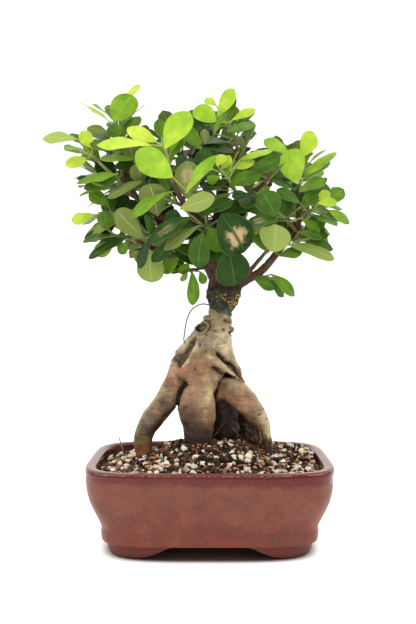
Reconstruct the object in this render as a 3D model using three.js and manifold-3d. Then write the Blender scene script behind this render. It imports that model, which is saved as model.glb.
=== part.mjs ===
// A grafted ginseng ficus grown as a bonsai, in a glazed pot on bracket feet.
// Millimetres, +Z up. The origin is under the middle of the whole plant, where the feet stand.
import * as THREE from 'three';
import { mergeVertices } from 'three/addons/utils/BufferGeometryUtils.js';
import Module from 'manifold-3d';

const wasm = await Module();
wasm.setup();

// ---- Driving dimensions ----

const pot = {
  halfWidth: 104,          // over the rim, side to side
  halfDepth: 82,           // over the rim, front to back
  height: 73.2,
  cornerPower: 5,          // how square the plan is: 2 is an ellipse
  innerPower: 4.2,
  rimWidth: 9,
  floorUnder: 9.5,
  floorTop: 15,
  recessX: 68,             // hollow under the floor, inside the feet
  recessY: 44,
  recessSides: 20,
  sides: 28,
  archHeight: 12,
  archFlatX: 31,           // half lengths of the arches between the feet
  archFootX: 64,
  archFlatY: 17,
  archFootY: 38,
  drainX: 44,
  drainRadius: 7,
  drainSides: 12,
};

// Height and inset of the outside, from the foot up: foot, step, moulding band, bag-shaped wall, rim.
const potWall = [
  [0, 22], [2.4, 18.6], [6, 17.5], [10, 16.6], [11.6, 14.2], [20.5, 12.6], [22.8, 13.1], [24.6, 12.5],
  [31, 9.2], [40, 4.8], [49.5, 1.5], [60, 0.2], [70.6, 0], [73.2, 1.4],
];

const soil = {
  gap: 0.4,                // between the mix and the pot's wall
  bottom: 15.4,
  edgeTop: 67.4,
  moundRise: 19.6,
  mound: { x: -2, y: -8, reachX: 84, reachY: 62 },
  heap: { x: 66, y: 34, reachX: 52, reachY: 46, rise: 8 },   // a second, lower one behind the right root
  fall: { x: 95.5, y: 74, from: 0.9, slope: 14 },   // down to the wall, past a share of its reach
  rings: 6,
  roughness: 1.3,
  chips: 16,
  chipsX: 89,
  chipsY: 67,
  chipSize: 2.6,
};

const screen = { size: 20, thickness: 1, bars: 3, bar: 2 };

const joinGap = 0.3;       // between the pieces that touch
const tree = { rootSides: 8, branchSides: 8, twigSides: 5, stemSides: 4, stemSteps: 3 };
const graftHeight = 196.4;

const eye = { x: -1.5, y: -757, z: 213 };   // where the plant is looked at from
const foliageShift = { x: 11.4, y: -0.5 };    // brings the middle of the whole plant over the origin

// ---- Shapes from rings of points ----

const draw = (i, j) => {
  const s = Math.sin(i * 12.9898 + j * 78.233) * 43758.5453;
  return s - Math.floor(s);
};

// Places in the tree are given as they are seen from the front, in the plane through the trunk,
// with their depth. This moves them out along the line of sight.
const sight = ([x, y, z]) => {
  const reach = (y - eye.y) / -eye.y;
  return new THREE.Vector3(eye.x + (x - eye.x) * reach, y, eye.z + (z - eye.z) * reach);
};

// The placed leaves and the clearings are read at a slightly larger scale than the branches.
const reading = { scale: 0.982, x: -2.8, z: 7.3 };
const fromReading = (x, z) => [reading.scale * x + reading.x, reading.scale * z + reading.z];
const readPlace = (x, y, z) => {
  const [across, height] = fromReading(x, z);
  return sight([across, y, height]);
};

// The other way: where a point of the tree is seen from the front.
const seen = (p) => {
  const reach = (p.y - eye.y) / -eye.y;
  return { x: eye.x + (p.x - eye.x) / reach, z: eye.z + (p.z - eye.z) / reach, depth: p.y };
};

function closedLoft(rings) {
  const n = rings[0].length;
  const flat = rings.flat().flatMap((p) => [p.x, p.y, p.z]);
  const index = [];
  for (let r = 0; r + 1 < rings.length; r++) {
    for (let i = 0; i < n; i++) {
      const a = r * n + i;
      const b = r * n + (i + 1) % n;
      index.push(a, b, b + n, a, b + n, a + n);
    }
  }
  const last = (rings.length - 1) * n;
  for (let i = 1; i + 1 < n; i++) {
    index.push(0, i + 1, i);
    index.push(last, last + i, last + i + 1);
  }
  const geometry = new THREE.BufferGeometry();
  geometry.setAttribute('position', new THREE.Float32BufferAttribute(flat, 3));
  geometry.setIndex(index);
  return geometry;
}

function toSolid(geometry) {
  const bare = geometry.clone();
  bare.deleteAttribute('normal');
  bare.deleteAttribute('uv');
  const merged = mergeVertices(bare, 1e-4);
  const vertProperties = new Float32Array(merged.attributes.position.array);
  const triVerts = new Uint32Array(merged.index.array);
  const solid = new wasm.Manifold(new wasm.Mesh({ numProp: 3, vertProperties, triVerts }));
  if (solid.volume() > 0) return solid;
  for (let t = 0; t < triVerts.length; t += 3) {
    [triVerts[t], triVerts[t + 1]] = [triVerts[t + 1], triVerts[t]];
  }
  return new wasm.Manifold(new wasm.Mesh({ numProp: 3, vertProperties, triVerts }));
}

function toGeometry(solid) {
  const mesh = solid.getMesh();
  const geometry = new THREE.BufferGeometry();
  geometry.setAttribute('position', new THREE.Float32BufferAttribute(mesh.vertProperties, 3));
  geometry.setIndex(new THREE.Uint32BufferAttribute(mesh.triVerts, 1));
  return geometry;
}

const joinAll = (solids) => solids.reduce((sum, next) => sum.add(next));

// A limb is a row of [x, y, z, half width, half depth], smoothed between its stations.
function smoothStations(stations, steps) {
  const centre = new THREE.CatmullRomCurve3(stations.map(sight), false, 'centripetal');
  const size = stations.map((s) => [s[3], s[4] ?? s[3]]);
  const made = [];
  for (let i = 0; i <= steps; i++) {
    const t = i / steps;
    const at = t * (stations.length - 1);
    const k = Math.min(Math.floor(at), stations.length - 2);
    const f = at - k;
    const ease = f * f * (3 - 2 * f);
    made.push({
      at: centre.getPoint(t),
      along: centre.getTangent(t),
      wide: size[k][0] + (size[k + 1][0] - size[k][0]) * ease,
      deep: size[k][1] + (size[k + 1][1] - size[k][1]) * ease,
    });
  }
  return made;
}

function limbGeometry(stations, steps, sides, extra = 0) {
  const made = smoothStations(stations, steps);
  const rings = made.map((s, i) => {
    const front = new THREE.Vector3(0, -1, 0);
    front.addScaledVector(s.along, -front.dot(s.along)).normalize();
    const across = new THREE.Vector3().crossVectors(s.along, front);
    const end = i === 0 ? -extra : i === steps ? extra : 0;
    return Array.from({ length: sides }, (_, k) => {
      const turn = (2 * Math.PI * k) / sides;
      return s.at.clone()
        .addScaledVector(s.along, end)
        .addScaledVector(across, (s.wide + extra) * Math.cos(turn))
        .addScaledVector(front, (s.deep + extra) * Math.sin(turn));
    });
  });
  return closedLoft(rings);
}

// ---- Pot ----

function planRing(halfX, halfY, z, power, sides = pot.sides) {
  return Array.from({ length: sides }, (_, i) => {
    const turn = (2 * Math.PI * i) / sides;
    const c = Math.cos(turn);
    const s = Math.sin(turn);
    return new THREE.Vector3(
      halfX * Math.sign(c) * Math.abs(c) ** (2 / power),
      halfY * Math.sign(s) * Math.abs(s) ** (2 / power),
      z,
    );
  });
}

function insetRing(inset, z, power, sides) {
  return planRing(pot.halfWidth - inset, pot.halfDepth - inset, z, power, sides);
}

// Inside of the wall: height and inset, from the floor up.
const potInside = [
  [pot.floorTop, 27], [19, 21.5], [29, 16.8], [42, 12], [60, 9.4], [pot.height + 1, pot.rimWidth],
];

function archCut(flat, foot, length, turned) {
  const h = pot.archHeight;
  const side = [0, 1, 2, 3, 4, 5, 6].map((k) => [foot + (flat - foot) * (k / 6), h * (k / 6) ** 1.5]);
  const shape = new THREE.Shape();
  shape.moveTo(-foot, -2);
  side.forEach(([x, z]) => shape.lineTo(-x, z));
  side.reverse().forEach(([x, z]) => shape.lineTo(x, z));
  shape.lineTo(foot, -2);
  shape.closePath();
  const cut = new THREE.ExtrudeGeometry(shape, { depth: length, bevelEnabled: false, curveSegments: 6 });
  cut.translate(0, 0, -length / 2);
  cut.rotateX(Math.PI / 2);
  if (turned) cut.rotateZ(Math.PI / 2);
  return toSolid(cut);
}

function makePot() {
  const outside = closedLoft(potWall.map(([z, inset]) => insetRing(inset, z, pot.cornerPower)));
  const inside = closedLoft(potInside.map(([z, inset]) => insetRing(inset, z, pot.innerPower)));
  const recess = closedLoft([
    planRing(pot.recessX, pot.recessY, -2, pot.innerPower, pot.recessSides),
    planRing(pot.recessX, pot.recessY, pot.floorUnder, pot.innerPower, pot.recessSides),
  ]);
  let body = toSolid(outside).subtract(toSolid(inside)).subtract(toSolid(recess));
  body = body.subtract(archCut(pot.archFlatX, pot.archFootX, 3 * pot.halfDepth, false));
  body = body.subtract(archCut(pot.archFlatY, pot.archFootY, 3 * pot.halfWidth, true));
  for (const side of [-1, 1]) {
    const hole = new THREE.CylinderGeometry(pot.drainRadius, pot.drainRadius, pot.floorTop, pot.drainSides);
    hole.rotateX(Math.PI / 2);
    hole.translate(side * pot.drainX, 0, pot.floorTop);
    body = body.subtract(toSolid(hole));
  }
  return body;
}

// A square of plastic mesh laid over each drain hole.
function makeScreen(side) {
  const pitch = (screen.size - screen.bar) / (screen.bars - 1);
  const bars = [];
  for (let i = 0; i < screen.bars; i++) {
    for (const turned of [false, true]) {
      const bar = new THREE.BoxGeometry(screen.size, screen.bar, screen.thickness);
      bar.translate(0, (screen.bar - screen.size) / 2 + i * pitch, screen.thickness / 2);
      if (turned) bar.rotateZ(Math.PI / 2);
      bars.push(toSolid(bar));
    }
  }
  return joinAll(bars).translate([side * pot.drainX, 0, pot.floorTop + joinGap]);
}

// ---- Rootstock: aerial roots that swell and run together into the trunk ----

const roots = [
  // trunk and middle root
  { steps: 13, at: [[9.6, 2, graftHeight + 1, 9.5, 9.1], [8, 1, 190, 11.2, 10.5],
    [5, 0, 183, 14, 12], [1, -1, 171, 17.5, 14], [-3, -3, 159, 20, 15], [-6, -5, 149, 19, 15.5],
    [-8, -7, 140, 16, 15], [-10.5, -9, 131, 14, 14.5], [-11.7, -10, 120, 16.3, 15.5],
    [-10.8, -10, 108, 15.4, 15], [-10.2, -10, 97, 13, 13], [-10.5, -10, 84, 12, 12],
    [-10.5, -10, 62, 11, 11]] },
  // left root
  { steps: 9, at: [[-12, 0, 158, 8, 9], [-23, -1, 146, 12, 11], [-32, -3, 131, 10.8, 10.5],
    [-40.5, -5, 118, 10, 10], [-50, -8, 106, 9.6, 9.6], [-56.5, -10, 95, 8.2, 8.4],
    [-58.5, -11, 84, 7.5, 7.8], [-56.8, -11.5, 73, 7.2, 7.4], [-56, -12, 58, 6.5, 6.5]] },
  // right root
  { steps: 9, at: [[2, 5, 128, 9, 9], [8, 3, 130, 9.5, 10], [19, 0, 130.3, 12, 11.5],
    [30, -2, 122, 11.3, 11], [39, -4, 111, 9.8, 10], [45.5, -5, 101, 7.2, 8],
    [48, -5, 91, 5.4, 6.5], [49, -5, 80, 5.6, 6.2], [49, -5, 58, 5, 5.5]] },
  // the broad shoulder between the trunk and the left root
  { steps: 4, at: [[-7, -2, 168, 13, 12], [-13, -3, 156, 17, 14], [-18.5, -4, 145, 17.5, 14],
    [-21.5, -3, 137, 14.5, 12], [-24, 0, 129, 8, 7]] },
  // ridge behind the crevice on the left
  { steps: 6, at: [[-6, 2, 186, 4, 5], [-16, 3, 173, 5.2, 6], [-25.5, 2, 159, 6, 7],
    [-29, 0, 145, 8, 8.5], [-30, -2, 134, 8, 8]] },
  // ridge down the right side
  { steps: 6, at: [[13, 3, 186, 6, 7], [15, 2, 171, 4.8, 6], [16.5, 1, 159, 5.4, 6],
    [21, 0, 150, 4.6, 6], [24, 0, 141, 4.4, 5.5], [29, -1, 131, 4, 5]] },
  // the small arm across the front
  { steps: 6, at: [[-1, -14, 161, 3.4, 3.4], [6, -16.5, 155, 3.1, 3.1], [12, -15, 150.5, 2.6, 2.6],
    [17, -12, 146.5, 2.1, 2.1], [22, -9, 143, 1.6, 1.6], [26, -6, 139, 1.2, 1.2]] },
  // dark roots in the hollow under the right root
  { steps: 6, at: [[6, 12, 130, 10, 8], [11, 15, 112, 12.5, 8.5], [13, 16, 98, 13, 8.5],
    [14, 17, 84, 12.5, 8.5], [14, 17, 58, 11.5, 7]] },
  { steps: 7, at: [[8, 10, 152, 10, 10], [20, 20, 134, 10, 10], [28, 28, 114, 10.5, 9],
    [32.5, 32, 96, 11, 8.5], [35, 34, 80, 11.5, 8.5], [35, 34, 58, 10.5, 7]] },
  // back root
  { steps: 7, at: [[-6, 8, 154, 11, 10], [-10, 24, 134, 11, 10.5], [-11, 36, 112, 9.5, 9.5],
    [-11, 43, 94, 8.5, 8.5], [-11, 45, 80, 8, 8], [-11, 45, 58, 7, 7]] },
];
const knot = { at: [-6.5, -6.5, 186.2], radius: 5.6, depth: 0.8 };

function makeRootstock(extra = 0) {
  const limbs = roots.map((r) => toSolid(limbGeometry(r.at, r.steps, tree.rootSides, extra)));
  const scar = new THREE.IcosahedronGeometry(knot.radius + extra, 0);
  scar.scale(1, knot.depth, 1.1);
  const centre = sight(knot.at);
  scar.translate(centre.x, centre.y, centre.z);
  return joinAll([...limbs, toSolid(scar)]);
}

// ---- Scion: the flared graft collar, the upper trunk and the branches ----

const branches = [
  { name: 'trunk', steps: 12, at: [[9.6, 2, graftHeight, 9.9, 9.5], [9.9, 2, 202, 10.6, 10],
    [11.5, 2, 211.5, 13.9, 12], [12.1, 2, 219, 16, 13], [10, 2, 226, 12.4, 11],
    [6.5, 1, 233, 8.8, 8.5], [1, 0, 243, 8, 8], [-1, 0, 252, 7.3, 7.3], [3, 2, 268, 6.3, 6.3],
    [9, 4, 286, 5.3, 5.3], [12, 5, 303, 4.3, 4.3], [14, 6, 319, 3.4, 3.4]] },
  { name: 'upperLeft', steps: 6, at: [[1, 2, 262, 4.5], [-4, 0, 274, 4], [-22, -6, 277.5, 3.8],
    [-41, -12, 281.4, 3.4], [-52, -14, 289, 3.1], [-62.6, -15, 298, 2.8], [-76.6, -15, 317, 2.2]] },
  { name: 'nearMiddle', steps: 6, at: [[2, -2, 262, 4], [0, -9, 273, 3.6], [-13.7, -22, 283, 3.2],
    [-25, -34, 298, 2.6], [-33, -40, 314, 2.1]] },
  { name: 'lowerLeft', steps: 6, at: [[-1, -2, 246, 4], [-10, -8, 247.5, 3.4], [-21.6, -14, 248, 3.1],
    [-48.6, -24, 254.3, 2.5], [-64.4, -28, 261.3, 2]] },
  { name: 'right', steps: 8, at: [[20, 0, 217, 5.5], [29, -4, 225.5, 4.2], [44.8, -10, 235, 3.5],
    [58.8, -12, 250.8, 3.1], [68.4, -12, 262.2, 2.8], [76.2, -10, 270, 2.5], [77.5, -8, 286, 2.2],
    [77.1, -6, 306, 1.8]] },
  { name: 'rightTwig', steps: 3, at: [[30, -5, 226, 2.2], [35.2, -12, 235.1, 2], [48.3, -18, 250.8, 1.6]] },
  { name: 'leftTwig', steps: 3, at: [[0, -4, 238, 1.8], [-7, -7, 237.5, 1.5], [-13.7, -8, 236, 1.3]] },
  { name: 'frontSpur', steps: 3, at: [[5, -4, 263, 3], [10, -18, 263, 2.4], [15, -30, 264, 1.9]] },
  { name: 'backLeft', steps: 5, at: [[0, 4, 258, 4.2], [-14, 20, 270, 3.6], [-30, 34, 284, 3],
    [-45, 42, 299, 2.3]] },
  { name: 'back', steps: 5, at: [[6, 6, 276, 4], [8, 24, 290, 3.4], [8, 38, 306, 2.8], [6, 47, 320, 2.2]] },
  { name: 'backRight', steps: 5, at: [[8, 6, 282, 4], [24, 20, 290, 3.4], [40, 31, 300, 2.8],
    [53, 39, 311, 2.2]] },
  { name: 'midRight', steps: 4, at: [[9, 2, 286, 3.6], [24, -8, 296, 3], [38, -14, 304, 2.4],
    [48, -18, 312, 1.9]] },
  { name: 'topRight', steps: 3, at: [[13, 5, 306, 3], [20, 0, 324, 2.5], [26, -4, 338, 2]] },
  { name: 'topLeft', steps: 4, at: [[10, 4, 290, 3.6], [-4, 2, 308, 3], [-14, 0, 324, 2.4],
    [-18, -2, 338, 1.9]] },
];

function branchGeometry(branch, extra = 0) {
  const sides = branch.name === 'trunk' ? tree.branchSides : tree.twigSides;
  return limbGeometry(branch.at, branch.steps, sides, extra);
}

const makeScion = (extra = 0) => joinAll(branches.map((b) => toSolid(branchGeometry(b, extra))));

// A thin aerial root hangs from under the collar, beside the trunk.
const strand = { radius: 0.5, steps: 15, at: [[0, -5, 205.4], [-6, -6.5, 206.3], [-11.6, -7, 204.5],
  [-16.6, -7, 200], [-20.1, -6.5, 192], [-21.8, -6, 182], [-22.3, -5, 173.5], [-17, -3, 168]] };

// ---- Leafy shoots ----
// Each has its stem, from a branch to the tip, the count and length in mm of the leaves that are
// set out in a spiral, and the leaves that are placed one by one. Such a leaf has the foot and the
// tip of its blade, its width, the turn of its face (0 to the front, 90 up, 180 to the back) and
// how far its tip curls.

const shoots = [
  {name: 'shoot_left_top', stem: [[-76, -15, 316], [-80, -17, 340], [-81, -19, 366]], count: 1, size: 30,
    placed: [[-82, -22, 364, -69, -24, 390, 22, 0, 3], [-85, -18, 363, -111, -14, 389, 12, 72, 5],
      [-78, -12, 378, -60, -6, 399, 10, 35, 2], [-74, -20, 362, -57, -24, 381, 11, 76, 2],
      [-75, -26, 353, -87, -28, 360, 13, 10, 2], [-87, -20, 354, -106, -18, 361, 12, 38, 2],
      [-74, -30, 338, -102, -34, 349, 14, 40, 3]] },
  {name: 'shoot_left_far', stem: [[-71, -15, 308], [-88, -19, 320], [-106, -20, 340]], count: 1, size: 30,
    placed: [[-113, -21, 348, -145, -22, 355, 15, 42, 4], [-101, -24, 341, -111, -27, 356, 12, 0, 2],
      [-106, -24, 331, -125, -28, 327, 13, 30, 2], [-110, -18, 344, -119, -16, 356, 9, 30, 2]] },
  {name: 'shoot_left_mid', stem: [[-66, -15, 301], [-82, -26, 306], [-96, -34, 310]], count: 1, size: 36,
    placed: [[-78, -30, 318, -115, -40, 315, 13, 52, 5], [-76, -34, 315, -109, -42, 307, 15, 30, 4],
      [-56, -30, 312, -89, -38, 302, 14, 45, 4]] },
  {name: 'shoot_left_back', stem: [[-62, -15, 298], [-80, 0, 306], [-94, 14, 318]], count: 4, size: 35,
    placed: [] },
  {name: 'shoot_left_up', stem: [[-56, -14, 292], [-62, -6, 312], [-64, 2, 334]], count: 3, size: 35,
    placed: [[-61, -20, 326, -82, -26, 328, 11, 40, 2], [-80, -10, 320, -98, -14, 329, 17, 20, 2],
      [-62, -14, 331, -93, -22, 334, 12, 50, 3]] },
  {name: 'shoot_left_low', stem: [[-50, -14, 287], [-68, -14, 286], [-90, -12, 286]], count: 1, size: 34,
    placed: [[-60, -20, 287, -112, -28, 271, 16, 45, 6], [-99, -18, 282, -120, -22, 277, 12, 28, 2],
      [-87, -16, 291, -104, -18, 302, 13, 20, 2], [-91, -8, 284, -84, -8, 300, 14, 10, 2],
      [-80, -8, 286, -71, -6, 301, 13, 10, 2]] },
  {name: 'shoot_low_left', stem: [[-64, -28, 261], [-72, -31, 266], [-82, -34, 266]], count: 1, size: 36,
    placed: [[-55, -36, 261, -82, -44, 283, 19, 8, 3], [-70, -38, 262, -107, -42, 249, 14, 48, 6],
      [-49, -38, 263, -64, -46, 237, 11, 35, 3], [-82, -34, 258, -99, -36, 246, 13, 10, 2],
      [-71, -34, 258, -77, -34, 247, 9, 10, 1], [-88, -24, 268, -91, -24, 284, 14, 10, 2]] },
  {name: 'shoot_low_middle', stem: [[-46, -23, 253], [-42, -30, 257], [-36, -36, 262]], count: 1, size: 32,
    placed: [[-50, -31, 250, -51, -30, 222, 23, 180, 2], [-26, -42, 262, -46, -48, 239, 12, 0, 3],
      [-24, -26, 244, -41, -26, 232, 13, 20, 2]] },
  {name: 'shoot_low_back', stem: [[-24, -14, 249], [-30, -2, 258], [-38, 10, 266]], count: 3, size: 34,
    placed: [] },
  {name: 'shoot_under', stem: [[-13, -8, 236.2], [-16, -8.5, 236], [-19, -9, 236]], count: 0, size: 25,
    placed: [[-13, -12, 232, -9, -14, 202, 11.5, 10, 2], [-6, -13, 232, -1, -14, 221, 8, 10, 1],
      [-15, -14, 239, -24, -14, 230, 9, 20, 1], [-17, -16, 231, -22, -18, 223, 6, 30, 1]] },
  {name: 'shoot_centre_lime', stem: [[-32, -40, 312], [-36, -43, 328], [-40, -45, 344]], count: 0, size: 33,
    placed: [[-37, -50, 340, -20, -54, 376, 21, 0, 4], [-48, -47, 343, -97, -44, 352, 15, 42, 6],
      [-30, -47, 315, -62, -56, 338, 23, 0, 3], [-44, -42, 346, -72, -40, 360, 15, 25, 4],
      [-19, -44, 300, 2, -52, 338, 11, 30, 5], [-39, -34, 347, -43, -34, 367, 11, 20, 1]] },
  {name: 'shoot_centre_low', stem: [[-20, -28, 291], [-32, -34, 295], [-42, -34, 300]], count: 1, size: 34,
    placed: [[-29, -40, 303, -71, -52, 291, 14, 50, 7], [-43, -26, 281, -49, -32, 310, 24, 180, 2]] },
  {name: 'shoot_centre_fill', stem: [[-24, -32, 297], [-16, -32, 306], [-8, -34, 318]], count: 2, size: 33,
    placed: [[-15, -38, 295, -19, -42, 329, 22, 180, 2]] },
  {name: 'shoot_front', stem: [[0, -9, 274], [-2, -24, 274], [-3, -38, 273]], count: 0, size: 31,
    placed: [[-3, -45, 267, -11, -50, 236, 18, 0, 3], [1, -38, 270, 16, -36, 250, 18, 0, 2],
      [-4, -42, 273, -41, -46, 258, 15, 45, 4], [-13, -44, 280, -53, -56, 265, 15, 30, 4],
      [-24, -50, 287, 6, -60, 297, 17, 20, 3], [-3, -48, 281, 20, -52, 299, 13, 30, 3],
      [12, -40, 278, 29, -40, 293, 13, 20, 2]] },
  {name: 'shoot_front_round', stem: [[15, -30, 264], [17, -36, 267], [18, -42, 270]], count: 0, size: 33,
    placed: [[13, -52, 282, 37, -56, 252, 33, 8, 3], [19, -48, 254, 28, -50, 220, 29, 5, 3]] },
  {name: 'shoot_right_pale', stem: [[48.3, -18, 250.8], [52, -19, 254], [56, -20, 257]], count: 0, size: 29,
    placed: [[59, -25, 249, 64, -28, 273, 27, 180, 2], [64, -22, 245, 84, -24, 252, 12, 35, 2],
      [52, -22, 250, 44, -22, 265, 11, 30, 2]] },
  {name: 'shoot_right_low', stem: [[40, -9, 231], [47, -13, 230], [52, -16, 229]], count: 0, size: 27,
    placed: [[41, -17, 226, 62, -20, 218, 12, 25, 2], [56, -16, 230, 81, -20, 214, 11, 25, 3]] },
  {name: 'shoot_right_long', stem: [[69, -12, 263], [75, -16, 262], [82, -18, 263]], count: 1, size: 29,
    placed: [[73, -22, 255, 115, -26, 250, 15, 38, 5], [80, -24, 267, 103, -28, 264, 11, 45, 3]] },
  {name: 'shoot_right_top', stem: [[77, -6, 305], [79, -7, 313], [78, -8, 322]], count: 0, size: 32,
    placed: [[81, -14, 309, 71, -18, 339, 24, 0, 3], [83, -4, 332, 98, -2, 355, 16, 0, 3],
      [74, -10, 335, 52, -6, 351, 13, 20, 3], [86, -12, 315, 112, -14, 341, 10, 35, 3],
      [80, -16, 303, 53, -20, 319, 9, 45, 3], [82, -18, 302, 104, -20, 317, 13, 30, 3]] },
  {name: 'shoot_right_end', stem: [[77.6, -8, 284], [88, -12, 288], [100, -14, 292]], count: 1, size: 29,
    placed: [[83, -20, 292, 64, -24, 306, 12, 25, 2], [98, -18, 292, 116, -20, 295, 11, 35, 2],
      [97, -12, 295, 110, -12, 302, 10, 20, 2], [108, -18, 286, 128, -22, 277, 11, 35, 3],
      [83, -18, 279, 102, -20, 269, 9, 20, 2], [84, -14, 287, 96, -14, 303, 12, 15, 2]] },
  {name: 'shoot_right_inner', stem: [[75, -11, 270], [68, -22, 278], [60, -30, 286]], count: 1, size: 32,
    placed: [[61, -34, 281, 52, -38, 303, 22, 0, 2], [64, -36, 278, 36, -46, 279, 14, 50, 3]] },
  {name: 'shoot_right_back', stem: [[76, -10, 276], [86, 8, 284], [92, 24, 292]], count: 4, size: 33,
    placed: [] },
  {name: 'shoot_mid_right', stem: [[47, -17.6, 311], [54, -20, 318], [60, -21, 324]], count: 1, size: 30,
    placed: [[38, -24, 320, 65, -30, 332, 15, 20, 3], [47, -18, 297, 50, -16, 312, 15, 0, 2]] },
  {name: 'shoot_mid_young', stem: [[26, -9, 297], [22, -22, 308], [12, -32, 320]], count: 1, size: 25,
    placed: [[6, -34, 322, -6, -36, 327, 9, 20, 2], [9, -34, 325, 15, -34, 336, 9, 10, 2],
      [13, -30, 322, 22, -30, 334, 9, 15, 2], [11, -36, 316, 1, -38, 311, 9, 20, 1],
      [20, -26, 308, 45, -34, 321, 14, 20, 3], [28, -20, 330, 58, -22, 342, 9, 40, 2],
      [24, -22, 323, 43, -24, 330, 10, 30, 2]] },
  {name: 'shoot_mid_low', stem: [[38, -14, 304], [42, -26, 300], [44, -36, 296]], count: 3, size: 32,
    placed: [] },
  {name: 'shoot_top', stem: [[25.5, -3.6, 337], [22, -6, 350], [16, -8, 364]], count: 1, size: 28,
    placed: [[9, -10, 368, 25, -10, 394, 13, 0, 3], [8, -14, 364, -8, -18, 379, 17, 10, 3],
      [22, -8, 365, 42, -6, 378, 9, 25, 2], [9, -4, 378, -1, -2, 386, 8, 20, 2],
      [6, -18, 352, 14, -20, 375, 9, 45, 2], [18, -12, 355, 43, -14, 364, 11, 35, 2],
      [-4, -8, 360, -12, -8, 376, 9, 20, 1]] },
  {name: 'shoot_top_right', stem: [[20.5, 0, 325], [28, -6, 338], [34, -8, 350]], count: 2, size: 30,
    placed: [[14, -16, 337, 39, -22, 345, 15, 10, 3]] },
  {name: 'shoot_top_left', stem: [[-17.5, -2, 337], [-14, -4, 346], [-10, -6, 356]], count: 3, size: 31,
    placed: [[-4, -14, 339, -22, -18, 366, 14, 20, 3], [-1, -20, 344, -1, -22, 358, 8, 10, 1],
      [-1, -12, 360, -15, -14, 368, 8, 20, 1]] },
  {name: 'shoot_top_back_left', stem: [[-6, 2, 310], [-20, 16, 326], [-30, 26, 344]], count: 4, size: 35,
    placed: [] },
  {name: 'shoot_back_top', stem: [[6, 46.5, 319], [4, 46, 332], [2, 44, 348]], count: 5, size: 34, placed: [] },
  {name: 'shoot_back', stem: [[8, 38, 306], [20, 46, 314], [32, 52, 320]], count: 4, size: 35, placed: [] },
  {name: 'shoot_back_left', stem: [[-44, 41.5, 298], [-52, 46, 308], [-59, 48, 320]], count: 5, size: 36,
    placed: [] },
  {name: 'shoot_back_left_low', stem: [[-30, 34, 284], [-42, 43, 278], [-55, 47, 272]], count: 4, size: 37,
    placed: [] },
  {name: 'shoot_back_right', stem: [[52, 38.5, 310], [58, 43, 320], [62, 44, 328]], count: 4, size: 32,
    placed: [] },
  {name: 'shoot_back_right_low', stem: [[40, 31, 300], [52, 40, 290], [66, 44, 282]], count: 4, size: 35,
    placed: [] },
  {name: 'shoot_back_low', stem: [[8, 22, 288], [4, 36, 281], [0, 47, 275]], count: 4, size: 36, placed: [] },
];

// Open places in the front view, which only placed leaves reach into: across, up and radius.
const clearings = [
  [-138, 339, 9], [-130, 304, 16], [-126, 254, 14], [-122, 368, 10], [-105, 371, 7], [-99, 395, 9], [-52, 377, 10],
  [-32, 390, 10], [-10, 388, 8], [38, 390, 9], [59, 367, 14], [75, 366, 11], [48, 347, 7], [-62, 366, 4], [-94, 367, 4], [-21, 380, 4], [75, 351, 4], [60, 307, 4], [111, 355, 9],
  [124, 320, 14], [123, 264, 10], [100, 235, 12], [70, 239, 7], [45, 247, 3.5], [52, 238, 6], [13, 212, 12], [5, 236, 5],
  [-33, 218, 11], [-82, 229, 15], [-47, 259, 3], [-57, 283, 3],
];

const leaf = {
  spiral: 137.5,           // degrees from one leaf to the next
  thickness: 0.7,
  stalkLength: 7,
  stalkHalf: 0.36,
  rodHalf: 0.6,
  widthShare: 0.56,        // of the length
  outline: [[0, 0.1], [0.42, 0.84], [0.78, 0.9]],   // share of the length and of the half width
  stemFoot: 1.7,
  stemTip: 1.15,
  guard: 0.55,             // room kept round a leaf
  tries: 28,
  clearOfBranch: 5,
};

const radians = (degrees) => (degrees * Math.PI) / 180;
const across = (v, along) => v.clone().addScaledVector(along, -v.dot(along)).normalize();

// A leaf: a square stalk from inside the stem, then a thin blade that curls down towards its tip.
function leafGeometry(l, extra, withStalk) {
  const side = new THREE.Vector3().crossVectors(l.along, l.up);
  const half = leaf.thickness / 2 + extra;
  const at = (s, w, h) => l.foot.clone()
    .addScaledVector(l.along, l.length * s)
    .addScaledVector(side, w * (l.width / 2) + Math.sign(w) * extra)
    .addScaledVector(l.up, h * half - l.curl * s * s);
  const points = [];
  if (withStalk) {
    const run = l.foot.clone().sub(l.root).normalize();
    const u = across(side, run);
    const v = across(l.up.clone().addScaledVector(u, -l.up.dot(u)), run);
    for (const [w, h] of [[1, 1], [-1, 1], [-1, -1], [1, -1]]) {
      const reach = leaf.stalkHalf + extra;
      points.push(l.root.clone().addScaledVector(u, w * reach).addScaledVector(v, h * reach));
    }
  }
  for (const [s, w] of leaf.outline) {
    points.push(at(s, w, 1), at(s, -w, 1), at(s, -w, -1), at(s, w, -1));
  }
  const e = points.length - 4;
  const [top, low] = [e + 4, e + 5];
  points.push(at(1, 0, 1), at(1, 0, -1));
  const index = [0, 1, 2, 0, 2, 3];
  for (let r = 0; r < e; r += 4) {
    for (let k = 0; k < 4; k++) {
      const a = r + k;
      const b = r + (k + 1) % 4;
      if (k === 2) index.push(a, a + 4, b, b, a + 4, b + 4);
      else index.push(a, b + 4, b, a, a + 4, b + 4);
    }
  }
  index.push(e, top, e + 1, e + 2, low, e + 3, e + 1, top, low);
  index.push(e + 1, low, e + 2, e + 3, low, top, e + 3, top, e);
  const geometry = new THREE.BufferGeometry();
  const flat = points.flatMap((p) => p.toArray());
  geometry.setAttribute('position', new THREE.Float32BufferAttribute(flat, 3));
  geometry.setIndex(index);
  return geometry;
}

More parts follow.
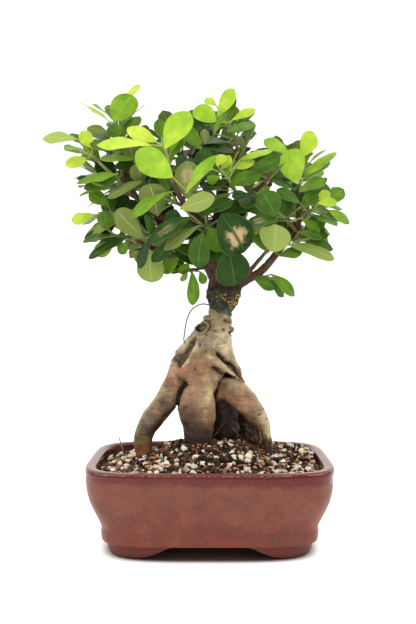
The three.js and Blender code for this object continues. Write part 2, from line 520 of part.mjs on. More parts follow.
// A stalk that turns back on its blade is a rod of its own, sunk into both.
function stalkGeometry(l, extra) {
  const end = l.foot.clone().addScaledVector(l.along, 0.08 * l.length);
  const run = end.clone().sub(l.root).normalize();
  const u = across(l.along.clone().add(l.up), run);
  const v = new THREE.Vector3().crossVectors(run, u);
  const reach = leaf.rodHalf + extra;
  const ring = (centre) => [[1, 0], [0, 1], [-1, 0], [0, -1]].map(([a, b]) => centre.clone()
    .addScaledVector(u, a * reach)
    .addScaledVector(v, b * reach));
  return closedLoft([ring(l.root), ring(end)]);
}

function leafPieces(l, extra) {
  const turnedBack = l.foot.clone().sub(l.root).normalize().dot(l.along) < 0.2;
  if (turnedBack) return [leafGeometry(l, extra, false), stalkGeometry(l, extra)];
  return [leafGeometry(l, extra, true)];
}

// The stem of a shoot: a few straight stretches along a gentle curve.
function stemPoints(shoot) {
  return new THREE.QuadraticBezierCurve3(...shoot.stem.map(sight)).getPoints(tree.stemSteps);
}

function onStem(shoot, t) {
  const points = stemPoints(shoot);
  const k = Math.min(Math.floor(t * tree.stemSteps), tree.stemSteps - 1);
  return {
    point: points[k].clone().lerp(points[k + 1], t * tree.stemSteps - k),
    along: points[k + 1].clone().sub(points[k]).normalize(),
  };
}

function stemGeometry(shoot) {
  const points = stemPoints(shoot);
  const rings = points.map((p, i) => {
    const before = points[Math.max(i - 1, 0)];
    const after = points[Math.min(i + 1, tree.stemSteps)];
    const along = after.clone().sub(before).normalize();
    const u = across(new THREE.Vector3(0.2, -1, 0.1), along);
    const v = new THREE.Vector3().crossVectors(along, u);
    const r = leaf.stemFoot + (leaf.stemTip - leaf.stemFoot) * (i / tree.stemSteps);
    return Array.from({ length: tree.stemSides }, (_, k) => p.clone()
      .addScaledVector(u, r * Math.cos((2 * Math.PI * k) / tree.stemSides))
      .addScaledVector(v, r * Math.sin((2 * Math.PI * k) / tree.stemSides)));
  });
  return closedLoft(rings);
}

// Where the stalk of a placed leaf leaves the stem: near its foot, behind it, and clear of the branch.
function stalkRoot(shoot, foot, along) {
  const stemFoot = onStem(shoot, 0).point;
  let best = null;
  for (let i = 1; i <= 10; i++) {
    const root = onStem(shoot, i / 10 - 0.01).point;
    if (root.distanceTo(stemFoot) < leaf.clearOfBranch) continue;
    const run = foot.clone().sub(root);
    const score = 9 * run.clone().normalize().dot(along) - Math.abs(run.length() - leaf.stalkLength);
    if (!best || score > best.score) best = { root, score };
  }
  return best.root;
}

// A leaf placed by hand keeps its place as seen from the front; a try moves it in depth.
function placedLeaf(shoot, row, n) {
  const [fx, fy, fz, tx, ty, tz, width, face, curl] = row;
  const shift = (n % 2 ? 1 : -1) * Math.ceil(n / 2) * 2.2;
  const foot = readPlace(fx, fy + shift * 0.6, fz);
  const tip = readPlace(tx, ty + shift, tz);
  const along = tip.clone().sub(foot).normalize();
  const front = across(new THREE.Vector3(0, -1, 0), along);
  const over = new THREE.Vector3().crossVectors(along, front);
  if (over.z < 0) over.negate();
  const up = front.multiplyScalar(Math.cos(radians(face))).addScaledVector(over, Math.sin(radians(face)));
  const root = stalkRoot(shoot, foot, along);
  const shown = width * Math.abs(Math.cos(radians(face)));
  return { root, foot, along, up, length: foot.distanceTo(tip), width, curl, shown };
}

// A leaf of the spiral; a try turns it round the stem, lifts or drops it and makes it smaller.
function spiralLeaf(shoot, i, which, n) {
  const t = 0.22 + 0.77 * ((i + 0.5) / shoot.count);
  const { point: root, along: stem } = onStem(shoot, t);
  const turn = (n % 2 ? 1 : -1) * Math.ceil(n / 2) * 12;
  const angle = radians(leaf.spiral * i + 360 * draw(which, 3) + turn);
  const tilt = radians(72 - 44 * t + 14 * (draw(which, 20 + i) - 0.5) + 13 * Math.sin(2.4 * n));
  const u = across(new THREE.Vector3(0.3, -1, 0.2), stem);
  const v = new THREE.Vector3().crossVectors(stem, u);
  const out = u.multiplyScalar(Math.cos(angle)).addScaledVector(v, Math.sin(angle));
  const along = stem.clone().multiplyScalar(Math.cos(tilt)).addScaledVector(out, Math.sin(tilt)).normalize();
  // faces lean to the front in the front half of the crown, and upwards behind
  const behind = Math.min(1, Math.max(0, (root.y + 5) / 40));
  const lean = new THREE.Vector3(draw(which, 40 + i) - 0.5, draw(which, 60 + i) - 1.7 + 1.6 * behind, 1.4);
  lean.multiplyScalar(0.5);
  const up = across(lean.addScaledVector(stem, 0.5), along);
  const grown = 1.12 - 0.35 * t + 0.22 * (draw(which, 80 + i) - 0.5);
  const length = shoot.size * grown * (1 - 0.012 * n);
  return {
    root,
    foot: root.clone().addScaledVector(along, leaf.stalkLength),
    along,
    up,
    length,
    width: length * leaf.widthShare * (0.94 + 0.16 * draw(which, 100 + i)),
    curl: length * (0.05 + 0.1 * draw(which, 120 + i)),
  };
}

// ---- Room for each leaf: it takes the first of its tries that crosses nothing ----

// In the front view the leaves of a spiral stay out of the clearings and behind the placed leaves.
function inTheWay(l, fronts) {
  const side = new THREE.Vector3().crossVectors(l.along, l.up);
  const marks = [[0.1, 0], [0.4, 0.8], [0.4, -0.8], [0.7, 0.9], [0.7, -0.9], [1, 0]].map(([s, w]) => seen(
    l.foot.clone().addScaledVector(l.along, s * l.length).addScaledVector(side, (w * l.width) / 2)));
  const open = clearings.map(([x, z, r]) => [...fromReading(x, z), r]);
  if (marks.some((m) => open.some(([x, z, r]) => Math.hypot(m.x - x, m.z - z) < r))) return true;
  return fronts.some((o) => {
    const foot = seen(o.foot);
    const tip = seen(o.foot.clone().addScaledVector(o.along, o.length));
    const [ax, az] = [tip.x - foot.x, tip.z - foot.z];
    const length = Math.hypot(ax, az);
    return marks.some((m) => {
      const [mx, mz] = [m.x - foot.x, m.z - foot.z];
      const run = (mx * ax + mz * az) / length / length;
      const out = (mz * ax - mx * az) / length / (o.shown / 2 + 0.5);
      return m.depth < foot.depth + 4 && (2 * run - 1) ** 2 + out ** 2 < 0.85;
    });
  });
}

function faceted(geometry) {
  const p = geometry.attributes.position.array;
  const at = (i) => [p[3 * i], p[3 * i + 1], p[3 * i + 2]];
  const faces = [];
  const edges = new Map();
  const index = geometry.index.array;
  for (let t = 0; t < index.length; t += 3) {
    faces.push([at(index[t]), at(index[t + 1]), at(index[t + 2])]);
    for (let k = 0; k < 3; k++) {
      const [a, b] = [index[t + k], index[t + (k + 1) % 3]].sort((x, y) => x - y);
      edges.set(`${a},${b}`, [at(a), at(b)]);
    }
  }
  geometry.computeBoundingBox();
  return { faces, edges: [...edges.values()], box: geometry.boundingBox };
}

function edgeMeetsFace([p, q], [a, b, c]) {
  const d = [q[0] - p[0], q[1] - p[1], q[2] - p[2]];
  const e = [b[0] - a[0], b[1] - a[1], b[2] - a[2]];
  const f = [c[0] - a[0], c[1] - a[1], c[2] - a[2]];
  const h = [d[1] * f[2] - d[2] * f[1], d[2] * f[0] - d[0] * f[2], d[0] * f[1] - d[1] * f[0]];
  const det = e[0] * h[0] + e[1] * h[1] + e[2] * h[2];
  if (Math.abs(det) < 1e-12) return false;
  const s = [p[0] - a[0], p[1] - a[1], p[2] - a[2]];
  const u = (s[0] * h[0] + s[1] * h[1] + s[2] * h[2]) / det;
  if (u < 0 || u > 1) return false;
  const g = [s[1] * e[2] - s[2] * e[1], s[2] * e[0] - s[0] * e[2], s[0] * e[1] - s[1] * e[0]];
  const w = (d[0] * g[0] + d[1] * g[1] + d[2] * g[2]) / det;
  if (w < 0 || u + w > 1) return false;
  const k = (f[0] * g[0] + f[1] * g[1] + f[2] * g[2]) / det;
  return k >= 0 && k <= 1;
}

function meets(a, b) {
  if (!a.box.intersectsBox(b.box)) return false;
  return a.edges.some((e) => b.faces.some((f) => edgeMeetsFace(e, f)))
    || b.edges.some((e) => a.faces.some((f) => edgeMeetsFace(e, f)));
}

function placeLeaves() {
  const woody = [...branches.map((b) => faceted(branchGeometry(b))),
    ...roots.slice(0, 5).map((r) => faceted(limbGeometry(r.at, r.steps, tree.rootSides)))];
  const stems = shoots.map((s) => faceted(stemGeometry(s)));
  const set = shoots.map(() => []);
  const fronts = [];
  const room = (which, l) => {
    const blade = faceted(leafGeometry(l, leaf.guard, false));
    const whole = leafPieces(l, leaf.guard).map(faceted);
    const touches = (other) => whole.some((piece) => meets(piece, other));
    return !woody.some(touches)
      && !stems.some((s, k) => k !== which && touches(s))
      && set.every((others, k) => others.every((o) => (
        k === which ? !meets(blade, o.blade) : !o.whole.some(touches))));
  };
  const settle = (which, make, hidden) => {
    for (let n = 0; n < leaf.tries; n++) {
      const l = make(n);
      if (!(hidden && inTheWay(l, fronts)) && room(which, l)) {
        const blade = faceted(leafGeometry(l, 0, false));
        set[which].push({ ...l, blade, whole: leafPieces(l, 0).map(faceted) });
        return;
      }
    }
  };
  shoots.forEach((s, which) => s.placed.forEach((row) => settle(which, (n) => placedLeaf(s, row, n), false)));
  fronts.push(...set.flat());
  shoots.forEach((s, which) => {
    for (let i = 0; i < s.count; i++) settle(which, (n) => spiralLeaf(s, i, which, n), true);
  });
  return set;
}

// ---- Soil: a mound of potting mix with grains that stand up, and holes for the roots ----

function soilTop(x, y) {
  const { mound, heap, fall } = soil;
  const edge = (Math.abs(x / fall.x) ** 3 + Math.abs(y / fall.y) ** 3) ** (1 / 3);
  const centre = Math.max(0, 1 - Math.hypot((x - mound.x) / mound.reachX, (y - mound.y) / mound.reachY));
  const beside = Math.max(0, 1 - Math.hypot((x - heap.x) / heap.reachX, (y - heap.y) / heap.reachY));
  const rise = soil.moundRise * Math.min(1, 1.7 * centre ** 1.2);
  return soil.edgeTop + Math.max(rise, heap.rise * Math.min(1, 1.8 * beside))
    - fall.slope * Math.max(0, edge - fall.from);
}

function makeSoil(rootHoles) {
  const wall = potInside.slice(0, 5).map(([z, inset], i) => insetRing(
    inset + soil.gap + (i === 0 ? 0.4 : 0), i === 0 ? soil.bottom : z, pot.innerPower));
  const rim = insetRing(potInside[4][1] - 0.2 + soil.gap, 62, pot.innerPower);
  const rings = [...wall, rim];
  for (let r = 0; r < soil.rings; r++) {
    const share = 0.985 - (r / soil.rings) * 0.93;
    rings.push(rim.map((p, i) => {
      const x = p.x * share;
      const y = p.y * share;
      return new THREE.Vector3(x, y, soilTop(x, y) + soil.roughness * 2 * (draw(r, i) - 0.5));
    }));
  }
  const grains = [toSolid(closedLoft(rings))];
  for (let i = 0; i < soil.chips; i++) {
    const angle = 2 * Math.PI * draw(i, 201);
    const out = Math.sqrt(0.06 + 0.8 * draw(i, 202));
    const x = soil.chipsX * out * Math.cos(angle);
    const y = soil.chipsY * out * Math.sin(angle);
    const chip = new THREE.OctahedronGeometry(soil.chipSize * (0.7 + 0.6 * draw(i, 203)), 0);
    chip.rotateX(6 * draw(i, 204));
    chip.rotateZ(6 * draw(i, 205));
    chip.translate(x, y, soilTop(x, y) + 0.4);
    grains.push(toSolid(chip));
  }
  const pockets = [-1, 1].map((side) => {
    const pocket = new THREE.BoxGeometry(screen.size + 1, screen.size + 1, 2 * screen.thickness + 1.2);
    pocket.translate(side * pot.drainX, 0, pot.floorTop + joinGap);
    return toSolid(pocket);
  });
  return joinAll(grains).subtract(rootHoles).subtract(joinAll(pockets));
}

// ---- The whole plant ----

const finish = {
  glaze: new THREE.MeshStandardMaterial({ color: '#6b3029', roughness: 0.25, metalness: 0 }),
  mesh: new THREE.MeshStandardMaterial({ color: '#1c1c1c', roughness: 0.6, metalness: 0 }),
  mix: new THREE.MeshStandardMaterial({ color: '#3a2a20', roughness: 0.95, metalness: 0 }),
  root: new THREE.MeshStandardMaterial({ color: '#a58d70', roughness: 0.7, metalness: 0 }),
  bark: new THREE.MeshStandardMaterial({ color: '#4a3226', roughness: 0.8, metalness: 0 }),
  leafy: new THREE.MeshStandardMaterial({ color: '#4f8f2a', roughness: 0.4, metalness: 0 }),
};

const plant = new THREE.Group();
plant.position.set(foliageShift.x, foliageShift.y, 0);

function put(name, solid, material) {
  const pieces = solid.decompose().sort((a, b) => b.volume() - a.volume());
  const mesh = new THREE.Mesh(toGeometry(pieces[0]), material.clone());
  mesh.name = name;
  plant.add(mesh);
}

const scionRoom = makeScion(joinGap);
const rootRoom = makeRootstock(joinGap);

put('pot', makePot(), finish.glaze);
put('drain_screen_left', makeScreen(-1), finish.mesh);
put('drain_screen_right', makeScreen(1), finish.mesh);
put('soil', makeSoil(rootRoom), finish.mix);
put('rootstock', makeRootstock().subtract(scionRoom), finish.root);
put('scion', makeScion(), finish.bark);

const strandStations = strand.at.map((p) => [...p, strand.radius]);
put('aerial_strand', toSolid(limbGeometry(strandStations, strand.steps, tree.stemSides)).subtract(scionRoom)
  .subtract(rootRoom), finish.bark);

placeLeaves().forEach((set, which) => {
  const stem = toSolid(stemGeometry(shoots[which]));
  const parts = set.flatMap((l) => leafPieces(l, 0).map(toSolid));
  put(shoots[which].name, joinAll([stem, ...parts]).subtract(scionRoom), finish.leafy);
});

const group = new THREE.Group();
group.add(plant);
export default group;
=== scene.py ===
import math

import bpy
import numpy as np
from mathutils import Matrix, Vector, noise


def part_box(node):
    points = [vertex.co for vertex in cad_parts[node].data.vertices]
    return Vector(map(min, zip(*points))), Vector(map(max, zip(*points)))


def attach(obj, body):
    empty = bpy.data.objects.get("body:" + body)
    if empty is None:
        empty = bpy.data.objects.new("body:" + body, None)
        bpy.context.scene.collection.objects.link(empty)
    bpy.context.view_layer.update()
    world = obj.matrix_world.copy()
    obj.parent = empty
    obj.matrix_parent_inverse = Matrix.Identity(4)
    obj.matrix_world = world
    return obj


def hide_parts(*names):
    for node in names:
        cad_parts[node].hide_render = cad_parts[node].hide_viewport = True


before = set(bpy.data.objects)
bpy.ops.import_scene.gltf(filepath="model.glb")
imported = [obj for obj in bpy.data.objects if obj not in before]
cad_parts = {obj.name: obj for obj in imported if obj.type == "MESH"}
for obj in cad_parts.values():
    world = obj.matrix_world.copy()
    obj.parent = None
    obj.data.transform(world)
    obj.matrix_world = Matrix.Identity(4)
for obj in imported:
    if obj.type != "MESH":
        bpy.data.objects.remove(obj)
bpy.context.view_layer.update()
print('frame loaded')

mm = 0.001
potLow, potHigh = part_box('pot')
middle = np.array([(potLow.x + potHigh.x) / 2, (potLow.y + potHigh.y) / 2, 0])
eye = {'x': -1.5, 'y': -757, 'z': 213}      # where the plant is looked at from


# Small helpers

def draw(i, j):
    s = math.sin(i * 12.9898 + j * 78.233) * 43758.5453
    return s - math.floor(s)


def sight(place):
    # a place in the front view, moved out along the line of sight to its depth
    x, y, z = place[:3]
    reach = (y - eye['y']) / -eye['y']
    return np.array([eye['x'] + (x - eye['x']) * reach, y, eye['z'] + (z - eye['z']) * reach])


def unit(v):
    return v / math.sqrt(v.dot(v))


def across(v, along):
    return unit(v - along * v.dot(along))


def select(*pieces):
    if bpy.context.object and bpy.context.object.mode != 'OBJECT':
        bpy.ops.object.mode_set(mode='OBJECT')
    bpy.ops.object.select_all(action='DESELECT')
    for piece in pieces:
        piece.select_set(True)
    if pieces:
        bpy.context.view_layer.objects.active = pieces[0]


def readPoints(piece, kind='co'):
    flat = np.empty(len(piece.data.vertices) * 3)
    piece.data.vertices.foreach_get(kind, flat)
    return flat.reshape(-1, 3)


def writePoints(piece, points):
    piece.data.vertices.foreach_set('co', np.ascontiguousarray(points).ravel())
    piece.data.update()


def writeTint(piece, tint, name='tint'):
    # one colour a point, which the materials read: its parts mean what each piece says
    layer = (piece.data.color_attributes.get(name)
             or piece.data.color_attributes.new(name, 'FLOAT_COLOR', 'POINT'))
    flat = np.ones((len(piece.data.vertices), 4))
    flat[:, :tint.shape[1]] = tint
    layer.data.foreach_set('color', flat.ravel())


def applyModifier(piece, kind, **settings):
    select(piece)
    bpy.ops.object.modifier_add(type=kind)
    modifier = piece.modifiers[-1]
    for key, value in settings.items():
        setattr(modifier, key, value)
    bpy.ops.object.modifier_apply(modifier=modifier.name)


def drawOut(move):
    # the faces of the active piece, drawn out along the move
    bpy.ops.object.mode_set(mode='EDIT')
    bpy.ops.mesh.select_all(action='SELECT')
    bpy.ops.mesh.extrude_region_move(TRANSFORM_OT_translate={'value': move})
    bpy.ops.object.mode_set(mode='OBJECT')


def outwards(piece):
    select(piece)
    bpy.ops.object.mode_set(mode='EDIT')
    bpy.ops.mesh.select_all(action='SELECT')
    bpy.ops.mesh.normals_make_consistent(inside=False)
    bpy.ops.object.mode_set(mode='OBJECT')


def join(pieces, name):
    select(*pieces)
    if len(pieces) > 1:
        bpy.ops.object.join()
    pieces[0].name = name
    return pieces[0]


def copyOf(piece):
    twin = piece.copy()
    twin.data = piece.data.copy()
    bpy.context.scene.collection.objects.link(twin)
    return twin


def discard(*pieces):
    for piece in pieces:
        bpy.data.objects.remove(piece, do_unlink=True)


def finish(piece, name, materials, nodes, smooth):
    # millimetres from the middle of the pot become metres in the frame
    piece.name = name
    writePoints(piece, readPoints(piece) * mm + middle)
    if materials:
        piece.data.materials.clear()
        for material in materials:
            piece.data.materials.append(material)
    select(piece)
    if smooth is None:
        bpy.ops.object.shade_smooth()
    else:
        bpy.ops.object.shade_smooth_by_angle(angle=math.radians(smooth))
    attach(piece, 'root')
    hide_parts(*nodes)
    return piece


def fractal(points, scale, octaves, seed):
    # soft noise from about -1 to 1 at each point
    offset = Vector((seed * 17.3, seed * -9.1, seed * 5.7))
    return np.array([noise.fractal(Vector(p) * (1 / scale) + offset, 1.0, 2.0, octaves) for p in points])


def ramp(value, low, high):
    t = np.clip((value - low) / (high - low), 0, 1)
    return t * t * (3 - 2 * t)


# Shader maths on sockets

class Wire:
    # a socket that adds its Math nodes where it is used in an expression
    def __init__(self, tree, socket):
        self.tree = tree
        self.socket = socket

    def math(self, operation, *values, clamp=False):
        node = self.tree.nodes.new('ShaderNodeMath')
        node.operation = operation
        node.use_clamp = clamp
        for place, value in zip(node.inputs, values):
            plug(self.tree, place, value)
        return Wire(self.tree, node.outputs[0])

    def __add__(self, other):
        return self.math('ADD', self, other)

    __radd__ = __add__

    def __sub__(self, other):
        return self.math('SUBTRACT', self, other)

    def __rsub__(self, other):
        return self.math('SUBTRACT', other, self)

    def __mul__(self, other):
        return self.math('MULTIPLY', self, other)

    __rmul__ = __mul__

    def __truediv__(self, other):
        return self.math('DIVIDE', self, other)

    def __pow__(self, other):
        return self.math('POWER', self, other)

    def __abs__(self):
        return self.math('ABSOLUTE', self)

    def clip(self):
        return self.math('ADD', self, 0.0, clamp=True)

    def between(self, low, high):
        # 0 below low to 1 above high, eased; the other way round if low is the larger
        node = self.tree.nodes.new('ShaderNodeMapRange')
        node.interpolation_type = 'SMOOTHSTEP'
        flipped = low > high
        plug(self.tree, node.inputs['Value'], self)
        node.inputs['From Min'].default_value = min(low, high)
        node.inputs['From Max'].default_value = max(low, high)
        node.inputs['To Min'].default_value = 1.0 if flipped else 0.0
        node.inputs['To Max'].default_value = 0.0 if flipped else 1.0
        return Wire(self.tree, node.outputs[0])


def plug(tree, place, value):
    if isinstance(value, Wire):
        tree.links.new(value.socket, place)
    elif isinstance(value, (tuple, list)) and place.type == 'RGBA':
        place.default_value = (*value[:3], 1.0)
    else:
        place.default_value = value


class Finish:
    # a material while it is made
    def __init__(self, name):
        self.material = bpy.data.materials.new(name)
        self.material.use_nodes = True
        self.tree = self.material.node_tree
        self.tree.nodes.clear()
        self.place = self.node('ShaderNodeTexCoord', out='Object')

    def node(self, kind, settings=None, sockets=None, out=0):
        made = self.tree.nodes.new(kind)
        for key, value in (settings or {}).items():
            if key == 'stops':
                while len(made.color_ramp.elements) < len(value):
                    made.color_ramp.elements.new(0.5)
                for stop, (at, colour) in zip(made.color_ramp.elements, value):
                    stop.position = at
                    stop.color = (*colour, 1.0)
            else:
                setattr(made, key, value)
        for key, value in (sockets or {}).items():
            plug(self.tree, made.inputs[key], value)
        return Wire(self.tree, made.outputs[out])

    def scaled(self, x, y, z):
        return self.node('ShaderNodeMapping', {}, {'Vector': self.place, 'Scale': (x, y, z)})

    def noise(self, size, detail, rough=0.55, distortion=0.0, vector=None):
        # size in millimetres
        return self.node('ShaderNodeTexNoise', {}, {
            'Vector': vector or self.place, 'Scale': 1 / (size * mm), 'Detail': detail,
            'Roughness': rough, 'Distortion': distortion})

    def cells(self, size):
        return self.node('ShaderNodeTexVoronoi', {}, {'Vector': self.place, 'Scale': 1 / (size * mm)})

    def colours(self, value, *stops):
        return self.node('ShaderNodeValToRGB', {'stops': stops}, {'Fac': value})

    def mix(self, first, second, share, blend='MIX'):
        made = self.tree.nodes.new('ShaderNodeMix')
        made.data_type = 'RGBA'
        made.blend_type = blend
        made.clamp_factor = True
        plug(self.tree, made.inputs[0], share)
        plug(self.tree, made.inputs[6], first)
        plug(self.tree, made.inputs[7], second)
        return Wire(self.tree, made.outputs[2])

    def parts(self, vector, kind='ShaderNodeSeparateXYZ'):
        made = self.tree.nodes.new(kind)
        plug(self.tree, made.inputs[0], vector)
        return [Wire(self.tree, socket) for socket in made.outputs]

    def frontView(self):
        # the height, and how far to the right of the pot's middle, in millimetres
        place = self.parts(self.place)
        return place[2] / mm, place[0] / mm - float(middle[0]) / mm

    def painted(self, name):
        return self.node('ShaderNodeAttribute', {'attribute_name': name}, out='Color')

    def tint(self):
        return self.parts(self.painted('tint'), 'ShaderNodeSeparateColor')

    def bump(self, height, depth, strength):
        # depth in millimetres
        return self.node('ShaderNodeBump', {}, {
            'Height': height, 'Distance': depth * mm, 'Strength': strength}, out='Normal')

    def surface(self, colour, rough, normal=None, **fixed):
        shader = self.tree.nodes.new('ShaderNodeBsdfPrincipled')
        plug(self.tree, shader.inputs['Base Color'], colour)
        plug(self.tree, shader.inputs['Roughness'], rough)
        if normal:
            plug(self.tree, shader.inputs['Normal'], normal)
        for key, value in fixed.items():
            plug(self.tree, shader.inputs[key.replace('_', ' ')], value)
        output = self.tree.nodes.new('ShaderNodeOutputMaterial')
        self.tree.links.new(shader.outputs[0], output.inputs['Surface'])
        return self.material


# Camera, lights and floor

# The camera's place is in millimetres; the painted shadow under the pot and the backdrop are in metres.
studio = {'lens': 50, 'sensor': 36, 'pitch': 88.97, 'cameraHeight': 212.9, 'cameraBack': -757.2,
          'air': 0.56, 'floor': (0.95, 0.945, 0.94), 'glow': 0.56, 'shadow': (0.16, 0.10, 0.085),
          'shadowX': 0.088, 'shadowY': 0.067, 'backdrop': 0.98, 'backdropPlace': (0, 2.5, 2),
          'backdropSize': (8, 1, 4)}
lamps = [
    # name, place, aimed at, size, power, colour
    ('keyLeft', (-620, -300, 560), (0, 0, 220), (380, 560), 2.95, (1, 0.99, 0.96)),
    ('keyRight', (640, -220, 520), (0, 0, 200), (380, 560), 2.5, (1, 0.99, 0.97)),
    ('above', (0, 60, 900), (0, 0, 200), (700, 600), 2.8, (1, 1, 0.98)),
    ('behind', (0, 760, 420), (0, 0, 220), (900, 620), 1, (1, 1, 1)),
    ('front', (60, -900, 520), (0, 0, 180), (420, 420), 0.8, (1, 1, 1)),
]


def addLamp(name, place, aim, size, power, colour):
    bpy.ops.object.light_add(type='AREA', location=np.array(place) * mm + middle)
    lamp = bpy.context.object
    lamp.name = name
    lamp.data.shape = 'RECTANGLE'
    lamp.data.size, lamp.data.size_y = size[0] * mm, size[1] * mm
    lamp.data.energy = power
    lamp.data.color = colour
    towards = Vector(aim) - Vector(place)
    lamp.rotation_euler = towards.to_track_quat('-Z', 'Y').to_euler()


def setCamera():
    bpy.ops.object.camera_add(
        location=[eye['x'] * mm + middle[0], studio['cameraBack'] * mm + middle[1],
                  studio['cameraHeight'] * mm],
        rotation=(math.radians(studio['pitch']), 0, 0))
    camera = bpy.context.object
    camera.data.lens = studio['lens']
    camera.data.sensor_width = studio['sensor']
    camera.data.clip_start = 0.01
    bpy.context.scene.camera = camera


def setAir():
    world = bpy.data.worlds.new('air')
    bpy.context.scene.world = world
    world.use_nodes = True
    sky = world.node_tree.nodes['Background'].inputs
    sky['Color'].default_value = (1, 1, 1, 1)
    sky['Strength'].default_value = studio['air']


def addFloor():
    # it glows like a light table all round the pot, but not under it, where a painted shadow darkens it
    bpy.ops.mesh.primitive_plane_add(size=12, location=(0, 0, 0))
    floor = bpy.context.object
    floor.name = 'studioFloor'
    made = Finish('studioFloor')
    x, y = made.parts(made.place)[:2]
    out = ((abs(x - float(middle[0])) * (1 / studio['shadowX'])) ** 4
           + (abs(y - float(middle[1])) * (1 / studio['shadowY'])) ** 4) ** 0.25
    lit = out.between(0.96, 1.12)
    colour = made.mix(studio['shadow'], studio['floor'], out.between(0.9, 1.06))
    glow = made.mix((0, 0, 0), (1, 0.985, 0.955), lit)
    floor.data.materials.append(made.surface(colour, 0.9, Emission_Color=glow,
                                             Emission_Strength=studio['glow']))
    return floor


def addBackdrop():
    place = studio['backdropPlace']
    bpy.ops.mesh.primitive_plane_add(size=1, location=place, rotation=(math.radians(90), 0, 0))
    backdrop = bpy.context.object
    backdrop.name = 'studioBackdrop'
    select(backdrop)
    bpy.ops.transform.resize(value=studio['backdropSize'], center_override=place)
    bpy.ops.object.transform_apply(location=True, rotation=True, scale=True)
    made = Finish('studioBackdrop')
    backdrop.data.materials.append(made.surface((0.2, 0.2, 0.2), 0.9, Emission_Color=(1, 1, 1),
                                                Emission_Strength=studio['backdrop']))
    return backdrop


setCamera()
for lamp in lamps:
    addLamp(*lamp)
setAir()
addFloor()
addBackdrop()
bpy.context.scene.view_settings.view_transform = 'Standard'
print('studio set')


# Pot

pot = {'halfWidth': 104, 'halfDepth': 82, 'sides': 168, 'power': 5, 'recess': (68, 44, 9.5),
       'archHeight': 12, 'archX': (31, 64), 'archY': (17, 38), 'drainX': 44, 'drainRadius': 7,
       'drainDepth': 12, 'drainZ': 12.5, 'bevel': 0.7}
# height and inset, up the outside: foot, step, moulding band, bag-shaped wall and rolled rim
potOutside = [
    (0.0, 22.4), (0.4, 21.0), (1.1, 19.8), (2.2, 18.7), (4.0, 17.9), (7.0, 17.3), (9.2, 17.0),
    (10.4, 16.1), (11.3, 14.6), (12.4, 13.0), (14.6, 12.6), (17.2, 12.4), (19.2, 12.4), (20.8, 12.55),
    (22.0, 12.65), (23.2, 12.5), (24.8, 12.0), (27.0, 11.1), (29.6, 9.9), (32.6, 8.4), (36.2, 6.6),
    (40.4, 4.7), (45.0, 2.9), (49.8, 1.6), (55.0, 0.75), (60.2, 0.3), (64.8, 0.1), (68.6, 0.0),
    (70.8, 0.05), (72.0, 0.5), (72.8, 1.3), (73.2, 2.6), (73.2, 4.6), (73.1, 6.4), (72.6, 7.8),
    (71.6, 8.6), (69.6, 9.0), (65.4, 9.2), (59.2, 9.6), (51.8, 10.6), (42.4, 12.2), (36.0, 14.2),
    (29.6, 16.9), (23.8, 19.6), (19.0, 22.4), (16.4, 25.4), (15.3, 29.0), (15.0, 34.0),
]


def planOutline(halfX, halfY, power, count):
    # a soft-cornered rectangle, its points at even steps round the edge
    turn = np.linspace(0, 2 * math.pi, 4001)
    c, s = np.cos(turn), np.sin(turn)
    x = halfX * np.sign(c) * np.abs(c) ** (2 / power)
    y = halfY * np.sign(s) * np.abs(s) ** (2 / power)
    run = np.concatenate([[0], np.cumsum(np.hypot(np.diff(x), np.diff(y)))])
    even = np.linspace(0, run[-1], count, endpoint=False)
    return np.interp(even, run, x), np.interp(even, run, y)


def extrudeTo(rise, growX, growY):
    bpy.ops.mesh.extrude_region_move(TRANSFORM_OT_translate={'value': (0, 0, rise)})
    bpy.ops.transform.resize(value=(growX, growY, 1), center_override=(0, 0, 0))


def extrudeProfile(profile, halfX, halfY, first):
    # the selected ring goes up or down through each height and inset
    x, y, z = first
    for height, inset in profile:
        nextX, nextY = halfX - inset, halfY - inset
        extrudeTo(height - z, nextX / x, nextY / y)
        x, y, z = nextX, nextY, height


def cutWith(body, cutter):
    applyModifier(body, 'BOOLEAN', operation='DIFFERENCE', solver='EXACT', object=cutter)
    discard(cutter)


def archCutter(flat, foot, turned):
    # the opening between two feet: flat on top, with a hollow curve down to each foot
    steps = 12
    beyond = 150
    side = [(flat + (foot - flat) * t, pot['archHeight'] * (1 - t) ** 1.5)
            for t in np.linspace(0, 1, steps)]
    outline = [(-x, z) for x, z in side[::-1]] + side + [(foot, -3), (-foot, -3)]
    select()
    bpy.ops.mesh.primitive_circle_add(vertices=len(outline), radius=1, fill_type='NGON')
    cutter = bpy.context.object
    writePoints(cutter, np.array([(x, -beyond, z) for x, z in outline], dtype=float))
    drawOut((0, 2 * beyond, 0))
    if turned:
        points = readPoints(cutter)
        writePoints(cutter, np.stack([-points[:, 1], points[:, 0], points[:, 2]], axis=1))
    outwards(cutter)
    return cutter


